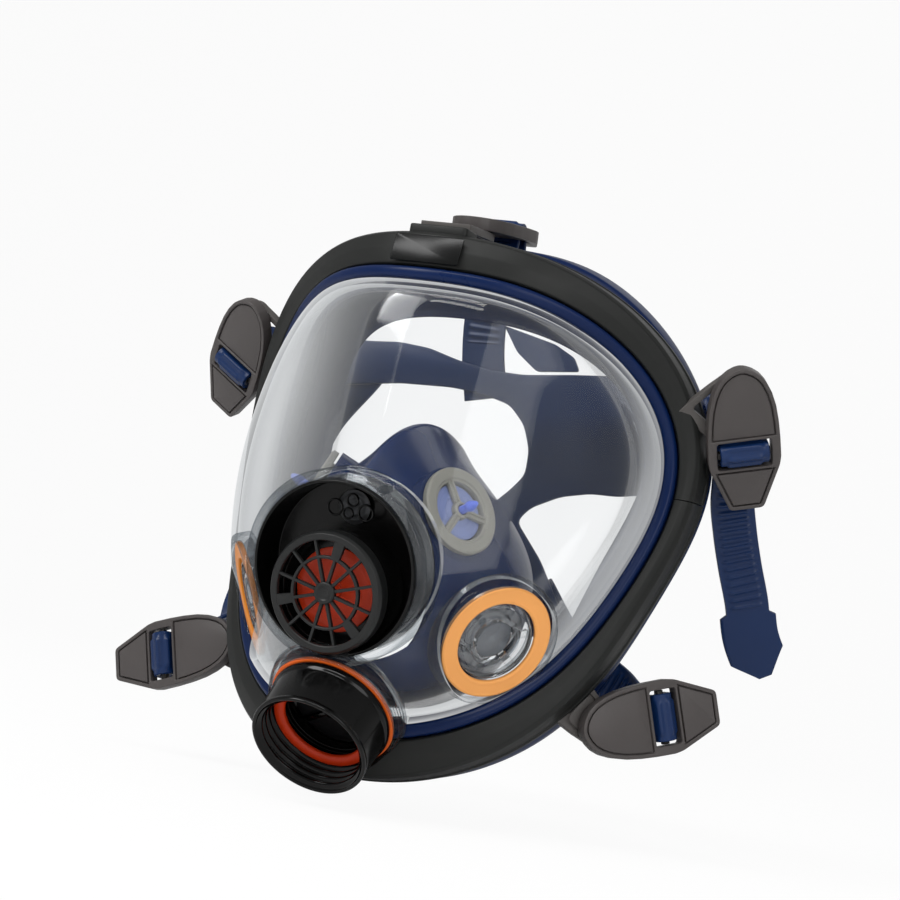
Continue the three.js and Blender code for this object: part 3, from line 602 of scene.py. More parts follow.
for nm, keep_up, rep in (("bezel_ring_upper", True, "bezel_upper"), ("bezel_ring_lower", False, "bezel_lower")):
    V, F = ring(bez_profile, [0.5] * 14)
    o = raw(nm, V, F)
    bm = bmesh.new()
    bm.from_mesh(o.data)
    z = (24 + (0.18 if keep_up else -0.18) + SH[2]) / 1000
    g = bmesh.ops.bisect_plane(bm, geom=bm.verts[:] + bm.edges[:] + bm.faces[:], plane_co=(0, 0, z), plane_no=(0, 0, 1), clear_inner=keep_up, clear_outer=not keep_up)
    bmesh.ops.holes_fill(bm, edges=[e for e in g["geom_cut"] if isinstance(e, bmesh.types.BMEdge)], sides=0)
    bm.to_mesh(o.data)
    bm.free()
    extra = []
    for s in (1, -1):
        z0, z1 = (24.2, 29) if keep_up else (19, 23.8)
        e = raw("ear", *prism(fillet([(s * 89.6, 66), (s * 96.2, 66), (s * 96.6, 76), (s * 93, 79.6), (s * 89.4, 76)], 1.6, 4)[:: 1 if s > 0 else -1], z0, z1))
        extra.append(bevel(e, 0.4))
    if keep_up:
        e = raw("lug", *prism(rect(-12, 12, -2.5, 9, 2.0, 5), 104.5, 108.8))
        extra.append(bevel(e, 0.6, 3))
    else:
        boolean(o, [(*cyl(25.7, -2.6, 26), m_ad)])
    fuse(o, *extra)
    done(o, M_BEZEL, reps=[rep], angle=30)

V, F = ring(seal_profile, [0.8, 0.7, 0.9, 0.8, 0.7, 0.5, 0.8, 0.8, 1.5, 4, 4, 3, 1.0, 1.5, 4, 2, 1.5, 1, 0.5], 4)
o = raw("seal_skirt", V, F)
boolean(o, [(*cyl(25.7, -2.6, 26), m_ad), (*cyl(19.7, -9, -2), m_ad)])
done(o, M_NAVY, reps=["face_seal"])

for s in (1, -1):
    M = shiftm(s * 93, 76.3, 24)
    k = merge(lathe([(0, -6.8), (1.6, -6.8), (1.6, 5.5), (0, 5.5)], 24, 0.15), lathe([(0, 5.4), (2.9, 5.4), (2.9, 7.2), (2.3, 7.7), (0, 7.7)], 32, 0.25))
    o = raw(f"clamp_screw_{'left' if s > 0 else 'right'}", *k, M)
    boolean(o, [(*block(-2.2, 2.2, -0.35, 0.35, 7.0, 9), M)])
    done(o, M_STEEL, reps=[f"bezel_screw_{'left' if s > 0 else 'right'}"], angle=30)

# ------------------------------------------------------------------ lens
LENS_H, LENS_P = 34, 0.38


def fall(z):
    s = np.clip((z + 40) / 140, 0, 1)
    return 1 - 0.5 * s * s * (3 - 2 * s)


def lens_point(t, rho, ins, drop):
    e = at(t, np.full(np.shape(t), -5.5 - ins), 0)
    c2 = np.cos(t) ** 2
    puff = 1 + 0.11 * c2 * math.exp(-((rho - 0.93) / 0.09) ** 2) * (1 - rho ** 10)
    x, z = rho * e[..., 0] * puff, rho * e[..., 2]
    y = Yb(rho * R(t) * np.cos(t), rho * R(t) * np.sin(t)) - (LENS_H - drop) * fall(z) * np.maximum(0, 1 - rho * rho) ** (LENS_P - 0.08 * c2)
    return np.stack([x, y, z], -1)


def shell(ins, drop, nr=44):
    rings = [np.broadcast_to(lens_point(np.array([0.0]), 0.0, ins, drop), (NT, 3))]
    for i in range(1, nr + 1):
        rings.append(lens_point(TT, math.sin(i / nr * PI / 2), ins, drop))
    return np.array(rings)


A0, A1 = shell(0, 0), shell(2.4, 2.5)
rim = A0[-1].copy()
rim[:, 1] += 5.0
rim2 = A1[-1].copy()
rim2[:, 1] += 5.0
A = np.concatenate([A0, rim[None], rim2[None], A1[::-1]])
o = raw("lens_shell", *grid(A, False, True))
cuts = [(*cyl(33.6, -40, 30), m_ex), (*cyl(25.4, -14, 24), m_ad)]
for s in (1, -1):
    cuts.append((*cyl(23.4, -30, 14), m_sp(s)))
boolean(o, cuts)
done(o, M_LENS, reps=["visor"], angle=50)

# clear bosses moulded on the lens
o = raw("lens_boss_exhale", *lathe([(32.4, -16), (35.4, -16), (35.7, -1.6), (35.2, -0.3), (34.2, 0.2), (33.2, 0.1), (32.4, -0.5)], 160, 0.6, 4), m_ex)
boolean(o, [(*cyl(26.3, -4, 26), m_ad)] + [(*cyl(17.2, -12, 3), m_cv(s)) for s in (1, -1)])
done(o, M_BOSS, angle=40)
for s in (1, -1):
    nm = "left" if s > 0 else "right"
    o = raw(f"lens_boss_side_{nm}", *lathe([(15.6, -6.4), (25.2, -6.4), (25.3, -0.6), (24.6, 0.9), (23.3, 1.2), (22.5, 0.6), (22.4, -1.8), (15.6, -1.8)], 120, 0.5, 4), m_sp(s))
    done(o, M_BOSS, angle=40)
prof = [(19.7, -7)]
for k in range(4):
    z = -6.6 + k * 1.25
    prof += [(26.9 - 0.25 * k, z), (27.3 - 0.25 * k, z + 0.35), (26.9 - 0.25 * k, z + 0.7), (25.9 - 0.2 * k, z + 0.95)]
prof += [(25.5, -2.4), (25.5, 0.3), (25.2, 0.7), (24.8, 0.7), (24.6, 0.3), (24.6, -2.1), (19.7, -2.1)]
o = raw("lens_boss_port", *lathe(prof, 120, 0.25, 3), m_ad)
done(o, M_BOSS, angle=40)

# ------------------------------------------------------------------ nose cup
CUP = (45.2, 67.0, 51.8)


def cup_pts(k, u, v):
    a, b, c = [q - k for q in CUP]
    th = v * PI
    rr = np.sin(th)
    ridge = np.exp(-(((u - PI / 2) / 0.334) ** 2)) * 6.4 * rr
    return np.stack([a * rr * np.cos(u) * (1 - 0.54 * np.maximum(0, np.sin(u)) ** 1.87), 30 - b * np.cos(th), -21.6 + (c * rr + ridge) * np.sin(u)], -1)


NU, NV = 144, 56
u = np.arange(NU) / NU * 2 * PI


def cup_shell(k):
    return np.array([cup_pts(k, u, np.full(NU, i / NV * 0.6)) for i in range(0, NV + 1)])


C0, C1 = cup_shell(0), cup_shell(2.2)
bead = []
for i in range(7):                                   # rolled rim at the open back
    a = i / 6 * PI
    base = C0[-1] * (1 + math.cos(a)) / 2 + C1[-1] * (1 - math.cos(a)) / 2
    base = base.copy()
    base[:, 1] += 2.0 * math.sin(a)
    bead.append(base)
cup = raw("nose_cup_skin", *grid(np.concatenate([C0, np.array(bead), C1[::-1]]), False, True))
for s in (1, -1):
    checked(cup, *cyl(17.6, -12.03, -2.3, 72), m_cv(s), "UNION")
checked(cup, *cyl(36.2, -20.4, 60), m_ex)
checked(cup, *cyl(24, -12.6, 30), m_ad)
for s in (1, -1):
    checked(cup, *cyl(19.4, -1.6, 24, 90), m_cv(s))
    checked(cup, *cyl(12.6, -26, 5, 84), m_cv(s))
bevel(cup, 0.35, 2, 40)
done(cup, M_CUP, reps=["nose_cup"], angle=45)

# ------------------------------------------------------------------ check valves of the nose cup
for s in (1, -1):
    nm, M = ("left" if s > 0 else "right"), m_cv(s)
    o = raw(f"check_seat_{nm}", *lathe([(11.6, -4.2), (12.3, -4.2), (12.3, -1.3), (16.6, -1.3), (16.7, 0.9), (15.9, 1.4), (12.6, 1.4), (12.2, 0.7), (11.4, 0.7), (11.2, -0.6), (11.4, -4.2)], 110, 0.25), M)
    arms = []
    for k in range(3):
        a = raw("arm", *prism(rect(2.0, 11.8, -1.35, 1.35, 0.3), -0.7, 1.0), M @ rotz(PI / 2 + k * 2 * PI / 3 + 0.35))
        boolean(a, [(*prism(rect(2.8, 12.5, -0.42, 0.42, 0.2), 0.5, 2), M @ rotz(PI / 2 + k * 2 * PI / 3 + 0.35))])
        arms.append(bevel(a, 0.22))
    arms.append(raw("hub", *lathe([(1.95, -0.9), (3.4, -0.9), (3.4, 1.0), (2.9, 1.6), (1.95, 1.6)], 48, 0.25), M))
    fuse(o, *arms)
    done(o, M_SEAT, reps=[f"check_valve_seat_{nm}"], angle=35)
    o = raw(f"check_stem_{nm}", *lathe([(0, -1.5), (1.7, -1.5), (1.55, 4.4), (2.0, 5.0), (1.95, 6.2), (1.2, 8.6), (0.6, 9.6), (0, 9.7)], 48, 0.4, 4), M)
    done(o, M_BLUE, body=f"check_valve_{nm}", angle=50)
    o = raw(f"check_disc_{nm}", *lathe([(0, -2.1), (10.6, -1.9), (10.7, -1.3), (9.2, -1.1), (8.4, -1.35), (6.2, -1.1), (5.4, -1.35), (3.2, -1.0), (0, -1.0)], 72, 0.3, 3), M)
    done(o, M_VEIL, body=f"check_valve_{nm}", reps=[f"check_valve_disc_{nm}"], angle=50)

# ------------------------------------------------------------------ exhale and speech housing
GO = -8.175
o = raw("exhale_cup", *lathe([(0, -18), (32, -18), (32, -0.6), (31.6, 0), (30.9, 0), (30.55, -0.4), (30.5, -15.9), (0, -16)], 144, 0.5), m_ex)
boolean(o, [(*cyl(18, -20, -14, 72, 0, GO), m_ex), (*cyl(4.5, -20, -14, 32, 0, 20.5), m_ex)])
bits = [raw("wall", *lathe([(19.4, -16.5), (20.9, -16.5), (20.9, -1.4), (20.6, -1.1), (19.7, -1.1), (19.4, -1.4)], 110, 0.25), m_ex @ shiftm(0, GO, 0)),
        raw("seat", *lathe([(13, -6), (19.8, -6), (19.8, -4.6), (14.0, -4.6), (13.4, -4.0), (13, -4.2)], 96, 0.25), m_ex @ shiftm(0, GO, 0))]
for k in range(4):
    bits.append(bevel(raw("web", *prism(rect(0, 13.4, -0.8, 0.8), -5.9, -4.7), m_ex @ shiftm(0, GO, 0) @ rotz(PI / 4 + k * PI / 2)), 0.2))
for a in (PI + 0.2, -0.2):            # ribs between inner and outer walls
    bits.append(bevel(raw("rib", *prism(rect(24.5, 30.6, -0.7, 0.7), -16.2, -12.5), m_ex @ rotz(a)), 0.25))
fuse(o, *bits)
done(o, M_HOUSING, reps=["exhale_housing"], angle=35)

# speech plate: a cut disc with a raised border and its sound holes
pl = circle(30.1, 120)
pl = clip(clip(clip(pl, 1, 0, 17), -1, 0, 17), 0, 1, -1.0)
pl2 = inset(fillet(pl, 0.6, 2), 1.3)
o = raw("speech_plate", *prism(pl, -12.2, -10.4), m_ex)
hole = [(*cyl(21.4, -15, -8, 96, 0, GO), m_ex), (*prism(pl2, -10.9, -9), m_ex)]
for x, y, r in ((-6.2, 20.2, 2.5), (6.2, 19.6, 2.5), (0.6, 23.6, 1.8), (-0.9, 18.6, 1.5)):
    hole.append((*cyl(r, -15, -8, 36, x, y), m_ex))
boolean(o, hole)
bevel(o, 0.22)
lips = []
for x, y, r in ((-6.2, 20.2, 2.5), (6.2, 19.6, 2.5), (0.6, 23.6, 1.8), (-0.9, 18.6, 1.5)):
    lips.append(raw("lip", *lathe([(r, -11.5), (r + 0.75, -11.5), (r + 0.7, -10.5), (r + 0.3, -10.3), (r, -10.6)], 36, 0.2), m_ex @ shiftm(x, y, 0)))
fuse(o, *lips)
done(o, M_SPEECH, reps=["speech_cover"], angle=35)
o = raw("speech_foil", *lathe([(0, -14.6), (6.4, -14.6), (6.4, -14.2), (5.6, -14.1), (4.6, -13.8), (3.6, -14.1), (2.6, -13.85), (1.4, -14.1), (0, -13.95)], 64, 0.3), m_ex @ shiftm(0, 20.6, 0))
done(o, M_FOIL, reps=["speech_diaphragm"], angle=60)

# grille
GF, GRR = 5.455, 22.18
m_gr = m_ex @ shiftm(0, GO, 0)
o = raw("grille_guard", *lathe([(21.3, -1), (GRR, -1), (GRR, 1.2), (GRR + 0.05, GF - 1.6), (GRR - 0.9, GF), (19.3, GF), (18.9, GF - 0.4), (18.9, GF - 2.2), (21.3, GF - 2.2)], 168, 0.28, 4), m_gr)
gb = [raw("inner", *lathe([(12.3, GF - 2.1), (13.5, GF - 2.1), (13.5, GF - 0.5), (13.2, GF - 0.25), (12.6, GF - 0.25), (12.3, GF - 0.5)], 120, 0.2), m_gr),
      raw("hub", *lathe([(0, GF - 2.2), (4.0, GF - 2.2), (4.1, GF - 0.2), (3.6, GF + 0.25), (2.8, GF + 0.25), (2.2, GF - 0.2), (1.0, GF - 0.55), (0, GF - 0.6)], 64, 0.3), m_gr)]
for k in range(12):
    a = 1.326 + k * PI / 6
    gb.append(bevel(raw("spoke", *prism([(3.4, -0.62), (19.4, -0.5), (19.4, 0.5), (3.4, 0.62)], GF - 2.0, GF - 0.35), m_gr @ rotz(a)), 0.2))
    if k % 4 == 0:
        gb.append(bevel(raw("tab", *prism([(12.8, -1.7), (19.6, -2.1), (19.6, 2.1), (12.8, 1.7)], GF - 2.1, GF - 0.15), m_gr @ rotz(a)), 0.25))
fuse(o, *gb)
done(o, M_GRILLE, body="grille", reps=["exhale_grille"], angle=35)
o = raw("exhale_disc", *lathe([(0, -4.2), (15.4, -4.3), (15.5, -3.5), (13, -3.2), (10, -3.35), (7, -3.1), (3.2, -3.1), (2.6, -2.2), (0, -2.1)], 110, 0.4, 4), m_gr)
done(o, M_RED, body="exhale_valve", reps=["exhale_valve_disc"], angle=50)

# ------------------------------------------------------------------ threaded filter port
L = 19.4
prof = [(16.4, -6), (19.1, -6), (19.1, 0.1), (23.3, 0.1), (23.5, 0.9), (23.3, 2.4), (22.75, 3.4), (22.45, 12), (22.25, L - 1.8), (22.5, L - 1.2), (22.35, L - 0.2), (21.9, L), (21.2, L), (20.7, L - 0.8)]
for k in range(4):
    z = L - 1.5 - k * 3.1
    prof += [(19.6, z - 0.1), (19.05, z - 0.9), (19.6, z - 1.6), (20.7, z - 2.4)]
prof += [(20.6, 5.2), (18.2, 5.0), (18.2, 2.0), (16.4, 2.0)]
o = raw("port_socket", *lathe(prof, 160, 0.45, 4), m_ad)
pb = []
for k in range(3):
    pb.append(bevel(raw("web", *prism(rect(0, 16.8, -0.9, 0.9), -1.4, 0.4), m_ad @ rotz(PI / 2 + k * 2 * PI / 3)), 0.25))
pb.append(raw("hub", *lathe([(0, -1.5), (3, -1.5), (3, 0.5), (2.4, 0.9), (0, 0.9)], 40, 0.3), m_ad))
fuse(o, *pb)
done(o, M_PORT, reps=["filter_port_body"], angle=40)
o = raw("port_seal_ring", *lathe([(15.6, 5.5), (20.3, 5.5), (20.3, 7.2), (19.4, 7.7), (18, 7.9), (16.6, 7.6), (15.6, 6.9)], 128, 0.5), m_ad)
done(o, M_RED, reps=["filter_port_seal"])
o = raw("port_gasket", *lathe([(19.5, -1.9), (24.1, -1.9), (24.4, -1.0), (24.1, -0.1), (19.5, -0.1)], 128, 0.5), m_ad)
done(o, M_ORANGE, reps=["filter_port_gasket"])
o = raw("port_disc", *lathe([(0, -2.9), (15.8, -2.9), (15.8, -2.1), (12, -1.9), (8, -2.05), (3, -1.85), (0, -1.9)], 80, 0.3), m_ad)
# the port's valve disc carries painted shade: near-black for the dark depth of the port
done(o, M_PORT_DISC_SHADE, body="port_valve", reps=["filter_port_valve_disc"], angle=50)

# ------------------------------------------------------------------ side ports
for s in (1, -1):
    nm, M = ("left" if s > 0 else "right"), m_sp(s)
    o = raw(f"side_gasket_{nm}", *lathe([(15.7, -1.6), (22.1, -1.6), (22.1, -0.2), (21.4, 0.15), (20.6, 0.0), (17.4, 0.0), (16.6, 0.15), (15.7, -0.2)], 128, 0.35, 4), M)
    done(o, M_LIGHT if s > 0 else M_AMBER, reps=[f"side_port_gasket_{nm}"])
    o = raw(f"side_insert_{nm}", *lathe([(7.5, -4.3), (15.2, -4.3), (15.2, -1.4), (14.6, -0.8), (13.6, -0.8), (13.0, -1.5), (10.2, -1.7), (9.6, -0.9), (8.0, -0.9), (7.5, -1.4)], 120, 0.3), M)
    nt = [(*prism(rect(9.9, 13.4, -1.5, 1.5, 0.5), -3.0, 1), M @ rotz(0.4 + k * PI / 3)) for k in range(6)]
    boolean(o, nt)
    done(o, M_INSERT, reps=[f"side_port_insert_{nm}"], angle=35)
    o = raw(f"side_disc_{nm}", *lathe([(0, -5.6), (12.6, -5.6), (12.6, -5.0), (6, -4.8), (3, -4.9), (0, -4.75)], 80, 0.25), M)
    done(o, M_PALE, body=f"side_valve_{nm}", reps=[f"side_port_valve_disc_{nm}"], angle=50)

# ------------------------------------------------------------------ buckles
PIV = 9.5
half = [(0, 0), (0.35, 2.1), (1.5, 4.7), (3.6, 7.4), (6.6, 9.6), (11, 11.5), (16.5, 12.9), (23, 13.7), (30, 14.1), (38, 14.2), (41.5, 13.6), (59, 6.6)]
o1 = [(x - PIV, y) for x, y in half[1:]] + []
outline = np.array([(-PIV, 0)] + [(x, -y) for x, y in o1] + [(x, y) for x, y in o1[::-1]])
outline = fillet(outline, [0.8] * 10 + [1.2, 1.6, 1.6, 1.2] + [0.8] * 10 if len(outline) == 23 else 0.9, 3)
WA, WB, WH = 30 - PIV, 41.3 - PIV, 10.6
MID = (WA + WB) / 2


def plate_cut(off, x0, x1):
    q = inset(outline, off)
    q = clip(q, 1, 0, -x0) if x0 is not None else q
    q = clip(q, -1, 0, x1) if x1 is not None else q
    return q


def buckle_mesh():
    o = raw("buckle", *prism(outline, -2.5, 2.5))
    win = rect(WA, WB, -WH, WH, 1.2, 4)
    boolean(o, [prism(plate_cut(1.6, None, WA - 1.1), 1.2, 4), prism(plate_cut(1.6, WB + 1.1, None), 1.2, 4), prism(win, -5, 5)])
    bevel(o, 0.5, 3, 32)
    a = raw("panel", *prism(plate_cut(2.15, None, WA - 1.65), 0.2, 2.1))
    bevel(a, 0.3, 2, 32)
    b = raw("grip", *prism(plate_cut(2.3, WB + 1.75, None), 0.2, 2.45))
    bevel(b, 0.42, 3, 32)
    return fuse(o, a, b)


TEMPLATE = buckle_mesh()
TV = np.array([v.co for v in TEMPLATE.data.vertices], float) * 1000 - SH
TF = [tuple(p.vertices) for p in TEMPLATE.data.polygons]
bpy.data.objects.remove(TEMPLATE)

U3 = np.array([0.4803, -0.7404, -0.4703])


def fat(t, w, y):
    return at(np.array([t]), np.array([w]), y)[0]


BUCK = {
    "top": dict(q=(0, 34, 118), n=(0, -0.12, 0.9928), d=(0, 0.9928, 0.12), f=(0, 8, 109.5)),
    "upper_left": dict(q=(110.7, 53.8, 68.4), n=U3, d=(0.0408, 0.5544, -0.8312), f=fat(0.576, Wd(0.576), 13.5)),
    "upper_right": dict(q=(-102.2, 52.6, 72.6), n=(-0.3076, -0.8218, -0.4796), d=(-0.4175, 0.5695, -0.708), f=fat(PI - 0.64, Wd(0.64), 13.5)),
    "lower_left": dict(q=(82.6, 42.6, -66.2), n=(0.7219, -0.6869, 0.0834), d=(0.6394, 0.7083, 0.2991), f=fat(-0.68, Wd(0.68), 12)),
    "lower_right": dict(q=(-86.8, 46.2, -61.7), n=(-0.1465, -0.986, 0.0798), d=(-0.9312, 0.1103, -0.3474), f=fat(PI + 0.72, Wd(0.72), 12)),
}
for nm, b in BUCK.items():
    n = unit(b["n"])
    d = np.array(b["d"], float)
    d = unit(d - n * (d @ n))
    M = np.eye(4)
    M[:3, 0], M[:3, 1], M[:3, 2], M[:3, 3] = d, np.cross(n, d), n, b["q"]
    b["M"] = M
    body = f"buckle_{nm}"
    # this plate stands a little further off, so that it swings past the frame flank
    o = raw(f"buckle_plate_{nm}", TV, TF, M @ shiftm(0, 0, 0.9 if nm == "lower_left" else 0), weld=False)
    done(o, M_BUCKLE, body=body, reps=[f"buckle_body_{nm}"], angle=28)
    o = raw(f"rivet_{nm}", *merge(lathe([(0, -6.4), (2.2, -6.4), (2.2, 0.9), (0, 0.9)], 32, 0.2), lathe([(0, -6.2), (3.8, -6.2), (3.7, -6.9), (2.6, -7.3), (1.2, -7.35), (0, -7.1)], 40, 0.3)), M)
    done(o, M_STEEL, reps=[f"buckle_rivet_{nm}"], angle=35)
    bar = fillet(rect(-1.5, 1.5, -1.3, 1.3), 0.9, 5)
    V, F = prism(bar, -WH + 0.3, WH - 0.3)
    V = np.c_[V[:, 0] + MID, V[:, 2], V[:, 1]]
    o = raw(f"bar_{nm}", V, F, M)
    bevel(o, 0.25)
    done(o, M_BUCKLE_D, body=body, reps=[f"strap_bar_{nm}"], angle=35)
    # flat loop bracket
    a = np.array(b["f"], float) - np.array(b["q"], float)
    a = a - n * (a @ n)
    Lb = float(np.linalg.norm(a))
    a = a / Lb
    MB = np.eye(4)
    MB[:3, 0], MB[:3, 1], MB[:3, 2], MB[:3, 3] = a, np.cross(n, a), n, b["q"]
    b["MB"], b["L"] = MB, Lb
    sh = [(-6.9 * math.cos(a), 7.4 * math.sin(a)) for a in np.linspace(-PI / 2, PI / 2, 15)][::-1]
    sh = np.array([(x, y) for x, y in sh[::-1]] + [(Lb * 0.4, 8.7), (Lb + 4, 10.5), (Lb + 4, -10.5), (Lb * 0.4, -8.7)])[::-1]
    o = raw(f"bracket_{nm}", *prism(fillet(sh, 1.0, 3), -5.9, -2.9), MB)
    if nm.startswith("lower"):
        boolean(o, [(*prism(fillet([(-4.4, -5.2), (Lb - 2, -7.6), (Lb - 2, 7.6), (-4.4, 5.2)], 3.4, 5), -3.5, 0), MB)])
        e = raw("step", *prism(fillet([(-3.7, -4.5), (Lb - 2.7, -6.9), (Lb - 2.7, 6.9), (-3.7, 4.5)], 3.2, 5), -5.5, -3.1), MB)
        fuse(o, bevel(e, 0.3))
    else:
        boolean(o, [(*prism(fillet([(5.2, -5.9), (Lb - 0.5, -7.4), (Lb - 0.5, 7.4), (5.2, 5.9)], 2.2, 5), -8, 0), MB)])
    bevel(o, 0.45, 3, 35)
    done(o, M_BRACKET, reps=[f"buckle_bracket_{nm}"], angle=30)


# ------------------------------------------------------------------ straps: one band each, from the head plate over the bar to its free end
def loc(nm, x, z, y=0.0):
    return tra(BUCK[nm]["M"], [(x, y, z)])[0]


def ydir(nm, s=1.0, tilt=0.0):
    M = BUCK[nm]["M"]
    return (M[:3, 1] + M[:3, 0] * tilt) * s


def loop(tail=None):
    p = [(MID - 5.2, -8.0), (MID - 4.0, -4.6), (MID - 3.5, -1.2)]
    for k in range(1, 6):
        a = PI * (1 - k / 6)
        p.append((MID + 3.4 * math.cos(a), 0.5 + 3.2 * math.sin(a)))
    p += [(MID + 3.5, -1.2), (MID + 4.0, -4.6)]
    p += tail if tail else [(MID + 5.0, -8.6), (MID + 5.2, -12)]
    return p


TAIL = [(MID + 7, -8.0, -0.5, 0), (MID + 13, -8.6, -1.8, 0), (49.5, -8.2, -3.6, 0), (63.4, -7, -3.5, 0), (78.3, -5, -2.5, 0), (92.9, -2.5, -1.0, -0.1), (108.2, 0.2, -0.4, -0.25), (125.9, 2, 4.5, -0.25)]
STR = {
    "upper_left": dict(pts=[(52, 97.6, 51), (66, 97.6, 52), (84, 97, 57), (101, 92, 63)], dirs=[(0, 0, 1), (0, 0, 1), (0, 0.1, 1), (0, 0, 1)], w=(46, 19), pre=[(14, -20), (17.6, -11)], tail=TAIL),
    "upper_right": dict(pts=[(-62, 97.8, 66), (-80, 98, 66), (-92, 97, 67), (-102, 89, 67)], dirs=[(0, 0, -1), (0, 0, -1), (0, 0, -1), (0.3, 0, -1)], w=(19, 19), pre=[(17.5, -11)], tail=None),
    "lower_left": dict(pts=[(26, 97.8, -18), (42, 97, -36), (60, 93, -46), (76, 87, -54), (85, 78, -60)], dirs=[(0.8, 0, 0.5), (0.6, 0, 0.8), (0.2, 0, 1), (0, 0, 1), (0, 0, 1)], w=(18, 18), pre=[(17.5, -11)], tail=None),
    "lower_right": dict(pts=[(-66, 97.8, 64), (-82, 97.6, 40), (-90, 95, 10), (-95, 90, -20), (-100, 81, -46), (-104, 70, -62)], dirs=[(-0.7, 0, -0.7), (-1, 0, -0.3), (-1, 0, 0), (-1, 0, -0.2), (-0.7, 0, -0.7), (-0.2, 0, -1)], w=(18, 18), pre=[(17.5, -11)], tail=None),
    "top": dict(pts=[(-10, 98, 58), (-14, 96.6, 76), (-14, 92.4, 92), (-10, 86, 105), (-3, 76, 112.5)], dirs=[(-1, 0, -0.1)] + [(-1, 0, 0)] * 4, w=(19, 19), pre=[(26, -13), (19.5, -11)], tail=None),
}
for nm, sd in STR.items():
    P = [np.array(p, float) for p in sd["pts"]]
    D = [np.array(d, float) for d in sd["dirs"]]
    for x, z in sd["pre"]:
        P.append(loc(nm, x, z))
        D.append(ydir(nm))
    npre = len(P)
    lp = [(x, z, 0.0, 0.0) for x, z in loop()]
    if sd["tail"]:
        lp = lp[:-2] + sd["tail"]
    for x, z, y, tl in lp:
        P.append(loc(nm, x, z, y))
        D.append(ydir(nm, 1.0, tl))
    w0, w1 = sd["w"]
    lon = bool(sd["tail"])

    def wid(a, total, w0=w0, w1=w1, lon=lon):
        w = w0 + (w1 - w0) * min(1.0, a / 56.0)
        e = total - a
        if lon and e < 96:                       # the free tail narrows, then ends in a five-sided tab
            w = 17.4 + 1.6 * min(1.0, max(0.0, (e - 82) / 12))
            if e < 29:
                w = 22.5 if e < 27.5 else 17.4 + 5.1 * (29 - e) / 1.5
            if e < 10:
                w = 22.5 * (0.24 + 0.76 * e / 10)
        elif not lon and e < 2:
            w = w * (0.8 + 0.2 * e / 2)
        return w

    V, F = ribbon(P, D, wid, 1.9, 640 if lon else 360, rib=(3.35, 0.85, 24, 30 if lon else 1.5))
    o = raw(f"strap_{nm}", V, F)
    start, end = row(P[npre - 3] if npre >= 3 else P[0]), row(loc(nm, MID - 5.2, -9))
    done(o, M_STRAP, reps=[f"strap_end_{nm}"], angle=60, blend=("mask", f"buckle_{nm}", tuple(start), tuple(end)))

# head plate: a flat moulded sheet lying behind the head
HP = [(-79, 76), (-66, 76.3), (-53, 77.4), (-38.6, 76.3), (-24.8, 72.7), (-9.6, 70.1), (6, 69.8), (28.3, 72.4), (66, 75.7), (66, 27), (55.2, 24.9), (43.6, 24.5), (31, 21.5), (18.9, 15.2), (14, 9),
      (27.1, -5.4), (34.5, -16.7), (44, -32), (30, -38), (21.5, -22.9), (9.8, -8), (2.2, 3.5), (-0.1, 10.8), (3.8, 16.4), (8.8, 21.3), (14.2, 28.4), (14, 38.9), (9.9, 49), (2.1, 56.5), (-12.2, 59.9), (-26.2, 60.8), (-49.5, 59.8), (-79, 55.5)]
MH = np.eye(4)
MH[:3, 0], MH[:3, 1], MH[:3, 2] = (1, 0, 0), (0, 0, 1), (0, -1, 0)
o = raw("head_plate", *prism(fillet(HP, 3.0, 3), -97.4, -95.0), MH)
bevel(o, 0.7, 3, 40)
tab = raw("tab", *prism(fillet([(-6, 89.4), (1.9, 78.7), (11.8, 71.7), (30.2, 73.8), (27, 79.4), (18.1, 83.9)], 1.5, 3), -96.2, -94.2), MH)
bevel(tab, 0.6, 3, 40)
fuse(o, tab)
done(o, M_STRAP, reps=["head_harness"], angle=45)

# ------------------------------------------------------------------ blank name plate on the upper frame half
t = PI / 2
e = edge(np.array(t))
MP = basis((0, e[1] + 1.2 + 0.34, e[2] + 6.6), (0, -1, 0.25))
o = raw("blank_plate", *prism(rect(-14, 14, -5.6, 5.6, 1.0, 4), 0.9, 1.5), MP)
bevel(o, 0.2)
done(o, M_PLATE, reps=["name_plate"], angle=30)

# ------------------------------------------------------------------ floor, light, camera
fm = plastic("m_floor", "#f4f4f4", 0.8, var=0.01, grain=300, bump=0.01, spec=0.1)
nt = fm.node_tree
lpn, em, mx, out = nt.nodes.new("ShaderNodeLightPath"), nt.nodes.new("ShaderNodeEmission"), nt.nodes.new("ShaderNodeMixShader"), nt.nodes["Material Output"]
em.inputs["Strength"].default_value = 1.0
fac = nt.nodes.new("ShaderNodeMath")
fac.operation = "MULTIPLY"
fac.inputs[1].default_value = 0.93
nt.links.new(lpn.outputs["Is Camera Ray"], fac.inputs[0])
nt.links.new(fac.outputs[0], mx.inputs[0])
nt.links.new(nt.nodes["Principled BSDF"].outputs[0], mx.inputs[1])
nt.links.new(em.outputs[0], mx.inputs[2])
nt.links.new(mx.outputs[0], out.inputs["Surface"])
ys = np.r_[np.linspace(-40.0, 1.2, 12), 1.2 + 1.8 * np.sin(np.linspace(0, PI / 2, 24)[1:])]
zs = np.r_[np.full(12, -0.1215), -0.1215 + 1.8 * (1 - np.cos(np.linspace(0, PI / 2, 24)[1:]))]
ys, zs = np.r_[ys, 3.0], np.r_[zs, 4.5]
V = [(x, y, z) for y, z in zip(ys, zs) for x in (-40, 40)]
F = [(2 * i, 2 * i + 1, 2 * i + 3, 2 * i + 2) for i in range(len(ys) - 1)]
me = bpy.data.meshes.new("floor")
me.from_pydata([tuple(map(float, v)) for v in V], [], F)
floor = bpy.data.objects.new("floor", me)
COL.objects.link(floor)
me.materials.append(fm)
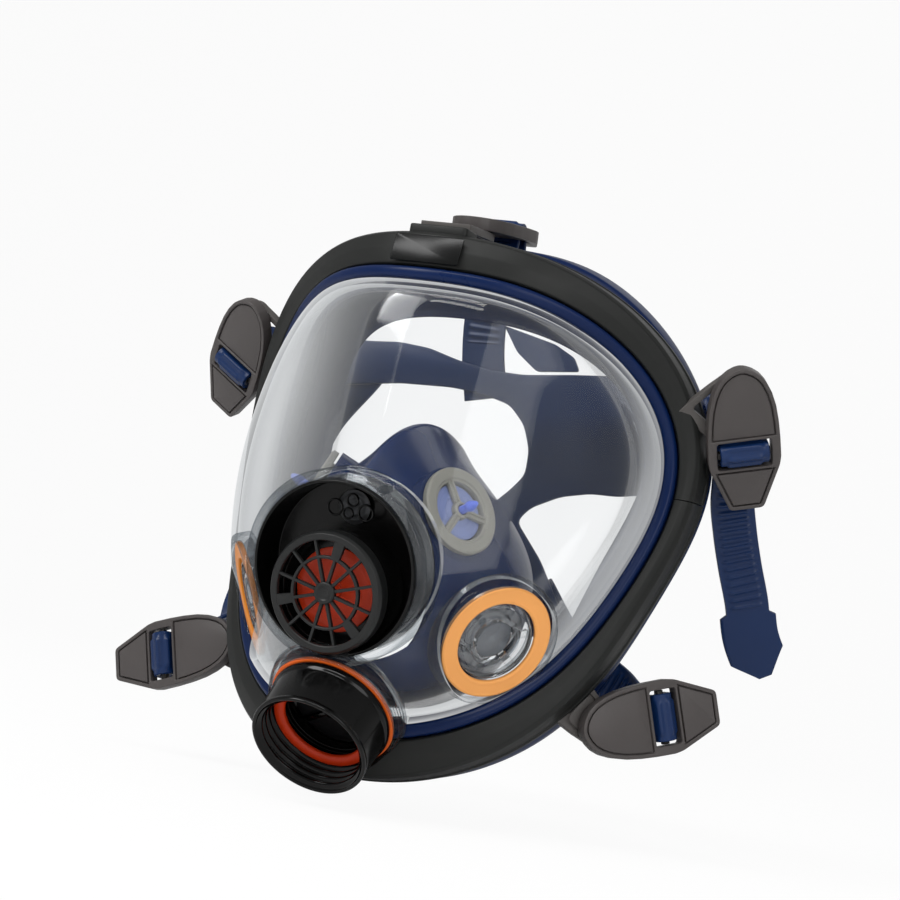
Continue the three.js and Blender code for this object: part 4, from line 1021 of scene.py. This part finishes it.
me.polygons.foreach_set("use_smooth", [True] * len(me.polygons))

world = bpy.context.scene.world or bpy.data.worlds.new("w")
bpy.context.scene.world = world
world.use_nodes = True
bg = world.node_tree.nodes.get("Background") or world.node_tree.nodes.new("ShaderNodeBackground")
bg.inputs[0].default_value, bg.inputs[1].default_value = (1.0, 1.0, 1.0, 1), 0.42
wl, wm = world.node_tree.nodes.new("ShaderNodeLightPath"), world.node_tree.nodes.new("ShaderNodeMath")
wm.operation = "MULTIPLY_ADD"
wm.inputs[1].default_value, wm.inputs[2].default_value = 0.58, 0.42
world.node_tree.links.new(wl.outputs["Is Camera Ray"], wm.inputs[0])
world.node_tree.links.new(wm.outputs[0], bg.inputs[1])


def area(name, loc_, target, size, power, sy=None):
    d = bpy.data.lights.new(name, "AREA")
    d.energy, d.shape, d.size = power, "RECTANGLE" if sy else "SQUARE", size
    if sy:
        d.size_y = sy
    o = bpy.data.objects.new(name, d)
    COL.objects.link(o)
    o.location = loc_
    o.rotation_mode = "QUATERNION"
    o.rotation_quaternion = (Vector(target) - Vector(loc_)).to_track_quat("-Z", "Y")
    return o


area("key", (-0.75, -1.1, 1.0), (0, 0, 0), 0.7, 15)
area("fill", (1.2, -0.9, 0.5), (0, 0, 0), 0.8, 6)
area("strip", (0.15, -1.0, 1.15), (0, 0, 0), 0.9, 7, 0.15)
area("rim", (0.3, 1.2, 1.0), (0, 0, 0), 0.8, 1)

r_, u_, b_ = np.array([0.9108, 0.3733, 0.1762]), np.array([-0.1291, -0.1478, 0.9805]), np.array([0.3921, -0.9159, -0.0864])
cam = bpy.data.objects.new("camera", bpy.data.cameras.new("camera"))
COL.objects.link(cam)
cam.data.sensor_width, cam.data.lens = 36.0, 2084.378 / 900 * 36
cam.data.clip_start, cam.data.clip_end = 0.01, 50
m = Matrix.Identity(4)
for i in range(3):
    m[i][0], m[i][1], m[i][2] = r_[i], u_[i], b_[i]
pos = row((323.07, -707.93, -41.52))
q = m.to_3x3().normalized().to_quaternion()
cam.rotation_mode = "QUATERNION"
cam.location, cam.rotation_quaternion = pos, q
bpy.context.scene.camera = cam
try:
    bpy.context.scene.view_settings.view_transform = "Standard"
except TypeError:
    pass
